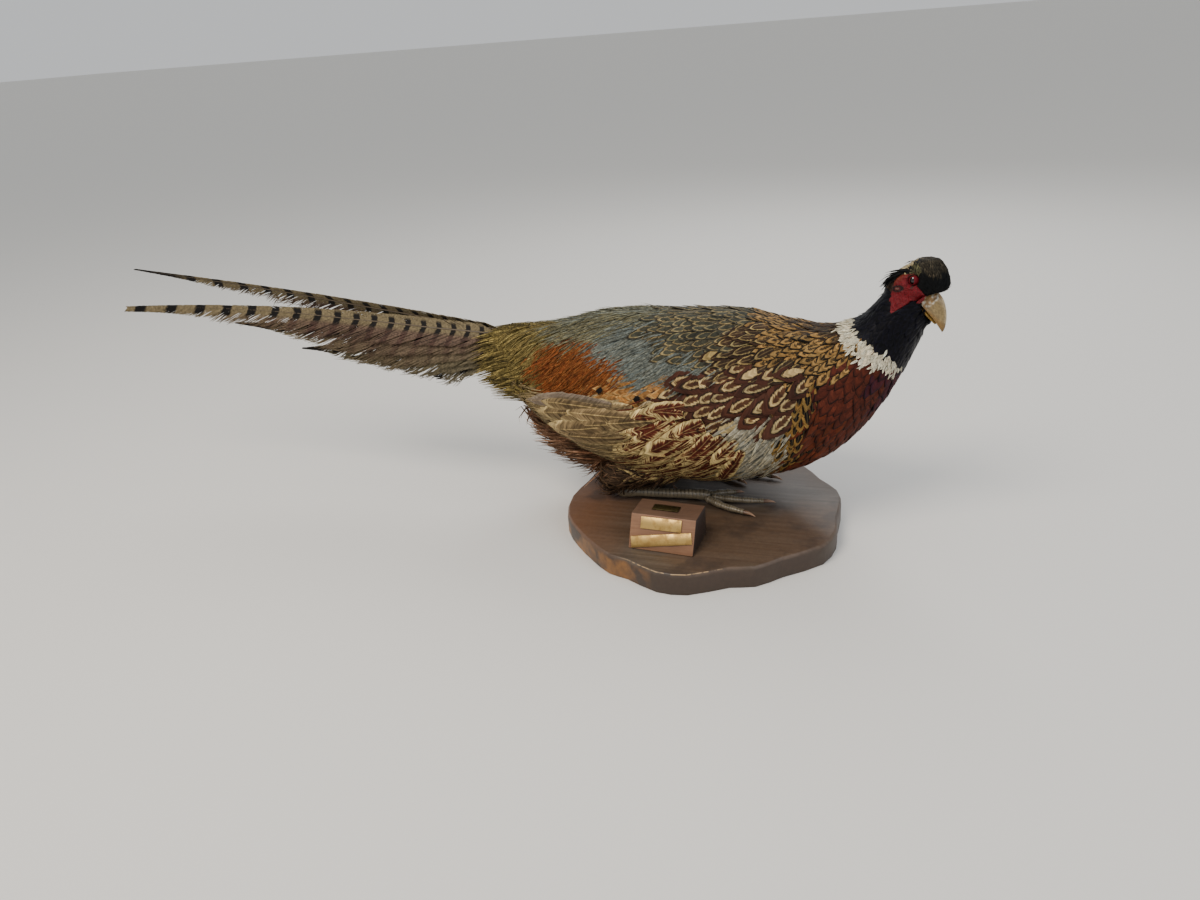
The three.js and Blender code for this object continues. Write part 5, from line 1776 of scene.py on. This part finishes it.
class PHEASANT_OT_wings(bpy.types.Operator):
    """Lays the coverts and the flight feathers over both folded wings"""

    bl_idname = "pheasant.wings"
    bl_label = "Wings"

    def execute(self, context):
        skin = skin_of()
        body = contour()
        covers = ["shoulder", "wing_covert", "flight_cover", "tertial_cover", "spot_patch"]
        for name, side in SIDES:
            rng = draws(20 + side)
            nodes = ["wing_" + name]
            coat("wing_coverts_" + name, skin, covers, body, "wing_feathers", nodes, rng, side=side)
            coat(
                "grey_coverts_" + name, skin, ["grey_covert"], downy(), "wing_feathers", nodes, rng,
                side=side, hair=True)
            flight_feathers(
                "secondaries_" + name, skin, SECONDARIES, side, body, rng,
                ("#3f180e", "#573020", "#ab9664"), (0.38, 0.6, 0.3), (0, 1.1, 1.0), copies=2)
            flight_feathers(
                "tertials_" + name, skin, TERTIALS, side, body, rng,
                ("#54452f", "#6f5d40", "#a08b60"), (0.45, 0.82, 0.8), (0, 0.4, 1.0))
            flight_feathers(
                "grey_tertials_" + name, skin, GREY_TERTIALS, side, body, rng,
                ("#544837", "#64574a", "#766959"), (0.5, 0.9, 0.2), (0, 0.3, 0.4), low=3.6)
            wing_details(name, skin, side, rng, body, downy())
        return {"FINISHED"}


class PHEASANT_OT_tail(bpy.types.Operator):
    """Builds the twelve tail feathers from separate barbs on a shaft"""

    bl_idname = "pheasant.tail"
    bl_label = "Tail"

    def execute(self, context):
        make_tail(draws(31), context.scene.pheasant_sizes)
        return {"FINISHED"}


class PHEASANT_OT_head(bpy.types.Operator):
    """Builds the head's feathers, bare skin, eyes, lids, ear tufts and bill"""

    bl_idname = "pheasant.head"
    bl_label = "Head"

    def execute(self, context):
        skin = skin_of()
        rng = draws(41)
        coat(
            "head_feathers", skin, ["crown", "olive_brow", "brow", "side_neck", "face"], contour(),
            "head_feathers", ["head"], rng, rows=3, columns=2, lift=0.1, tone=0.25)
        make_wattles(skin)
        make_eyes(skin)
        make_tufts(skin, rng, contour())
        make_bill()
        return {"FINISHED"}


class PHEASANT_OT_feet(bpy.types.Operator):
    """Builds the scaled shanks and toes, the claws and the spurs"""

    bl_idname = "pheasant.feet"
    bl_label = "Feet"

    def execute(self, context):
        make_feet()
        return {"FINISHED"}


class PHEASANT_OT_stand(bpy.types.Operator):
    """Finishes the slab, the name block and its blank brass plates"""

    bl_idname = "pheasant.stand"
    bl_label = "Stand"

    def execute(self, context):
        soft_edged("slab", "base_slab", 0.8 * MM, slab_material(), "slab_wood", 28)
        soft_edged("block", "name_block", 0.6 * MM, block_material(), "block_wood")
        light = brass_material("plate brass, brushed and lacquered", "#cba968", "#b08f56", 0.42)
        dark = brass_material("plate brass, tarnished", "#5b5236", "#3a3322", 0.42)
        soft_edged("plate_upper", "name_plate_upper", 0.25 * MM, light, "brass")
        soft_edged("plate_lower", "name_plate_lower", 0.25 * MM, light, "brass")
        soft_edged("plate_top", "name_plate_top", 0.25 * MM, dark, "dark_brass")
        return {"FINISHED"}


STEPS = ("stage", "skin", "body_feathers", "wings", "tail", "head", "feet", "stand")


class PHEASANT_PT_sidebar(bpy.types.Panel):
    """Lists the bird's sizes, colours and building steps"""

    bl_idname = "PHEASANT_PT_sidebar"
    bl_label = "Mounted pheasant"
    bl_space_type = "VIEW_3D"
    bl_region_type = "UI"
    bl_category = "Pheasant"

    def draw(self, context):
        for group in (context.scene.pheasant_sizes, context.scene.pheasant_colours):
            for key in group.__annotations__:
                self.layout.prop(group, key)
        for step in STEPS:
            self.layout.operator("pheasant." + step)


CLASSES = (
    PheasantSizes, PheasantColours, PHEASANT_OT_stage, PHEASANT_OT_skin, PHEASANT_OT_body_feathers,
    PHEASANT_OT_wings, PHEASANT_OT_tail, PHEASANT_OT_head, PHEASANT_OT_feet, PHEASANT_OT_stand,
    PHEASANT_PT_sidebar,
)


def register():
    for made in CLASSES:
        bpy.utils.register_class(made)
    bpy.types.Scene.pheasant_sizes = bpy.props.PointerProperty(type=PheasantSizes)
    bpy.types.Scene.pheasant_colours = bpy.props.PointerProperty(type=PheasantColours)


def unregister():
    del bpy.types.Scene.pheasant_colours
    del bpy.types.Scene.pheasant_sizes
    for made in reversed(CLASSES):
        bpy.utils.unregister_class(made)


def main():
    register()
    for step in STEPS:
        getattr(bpy.ops.pheasant, step)()


if __name__ == "__main__":
    main()
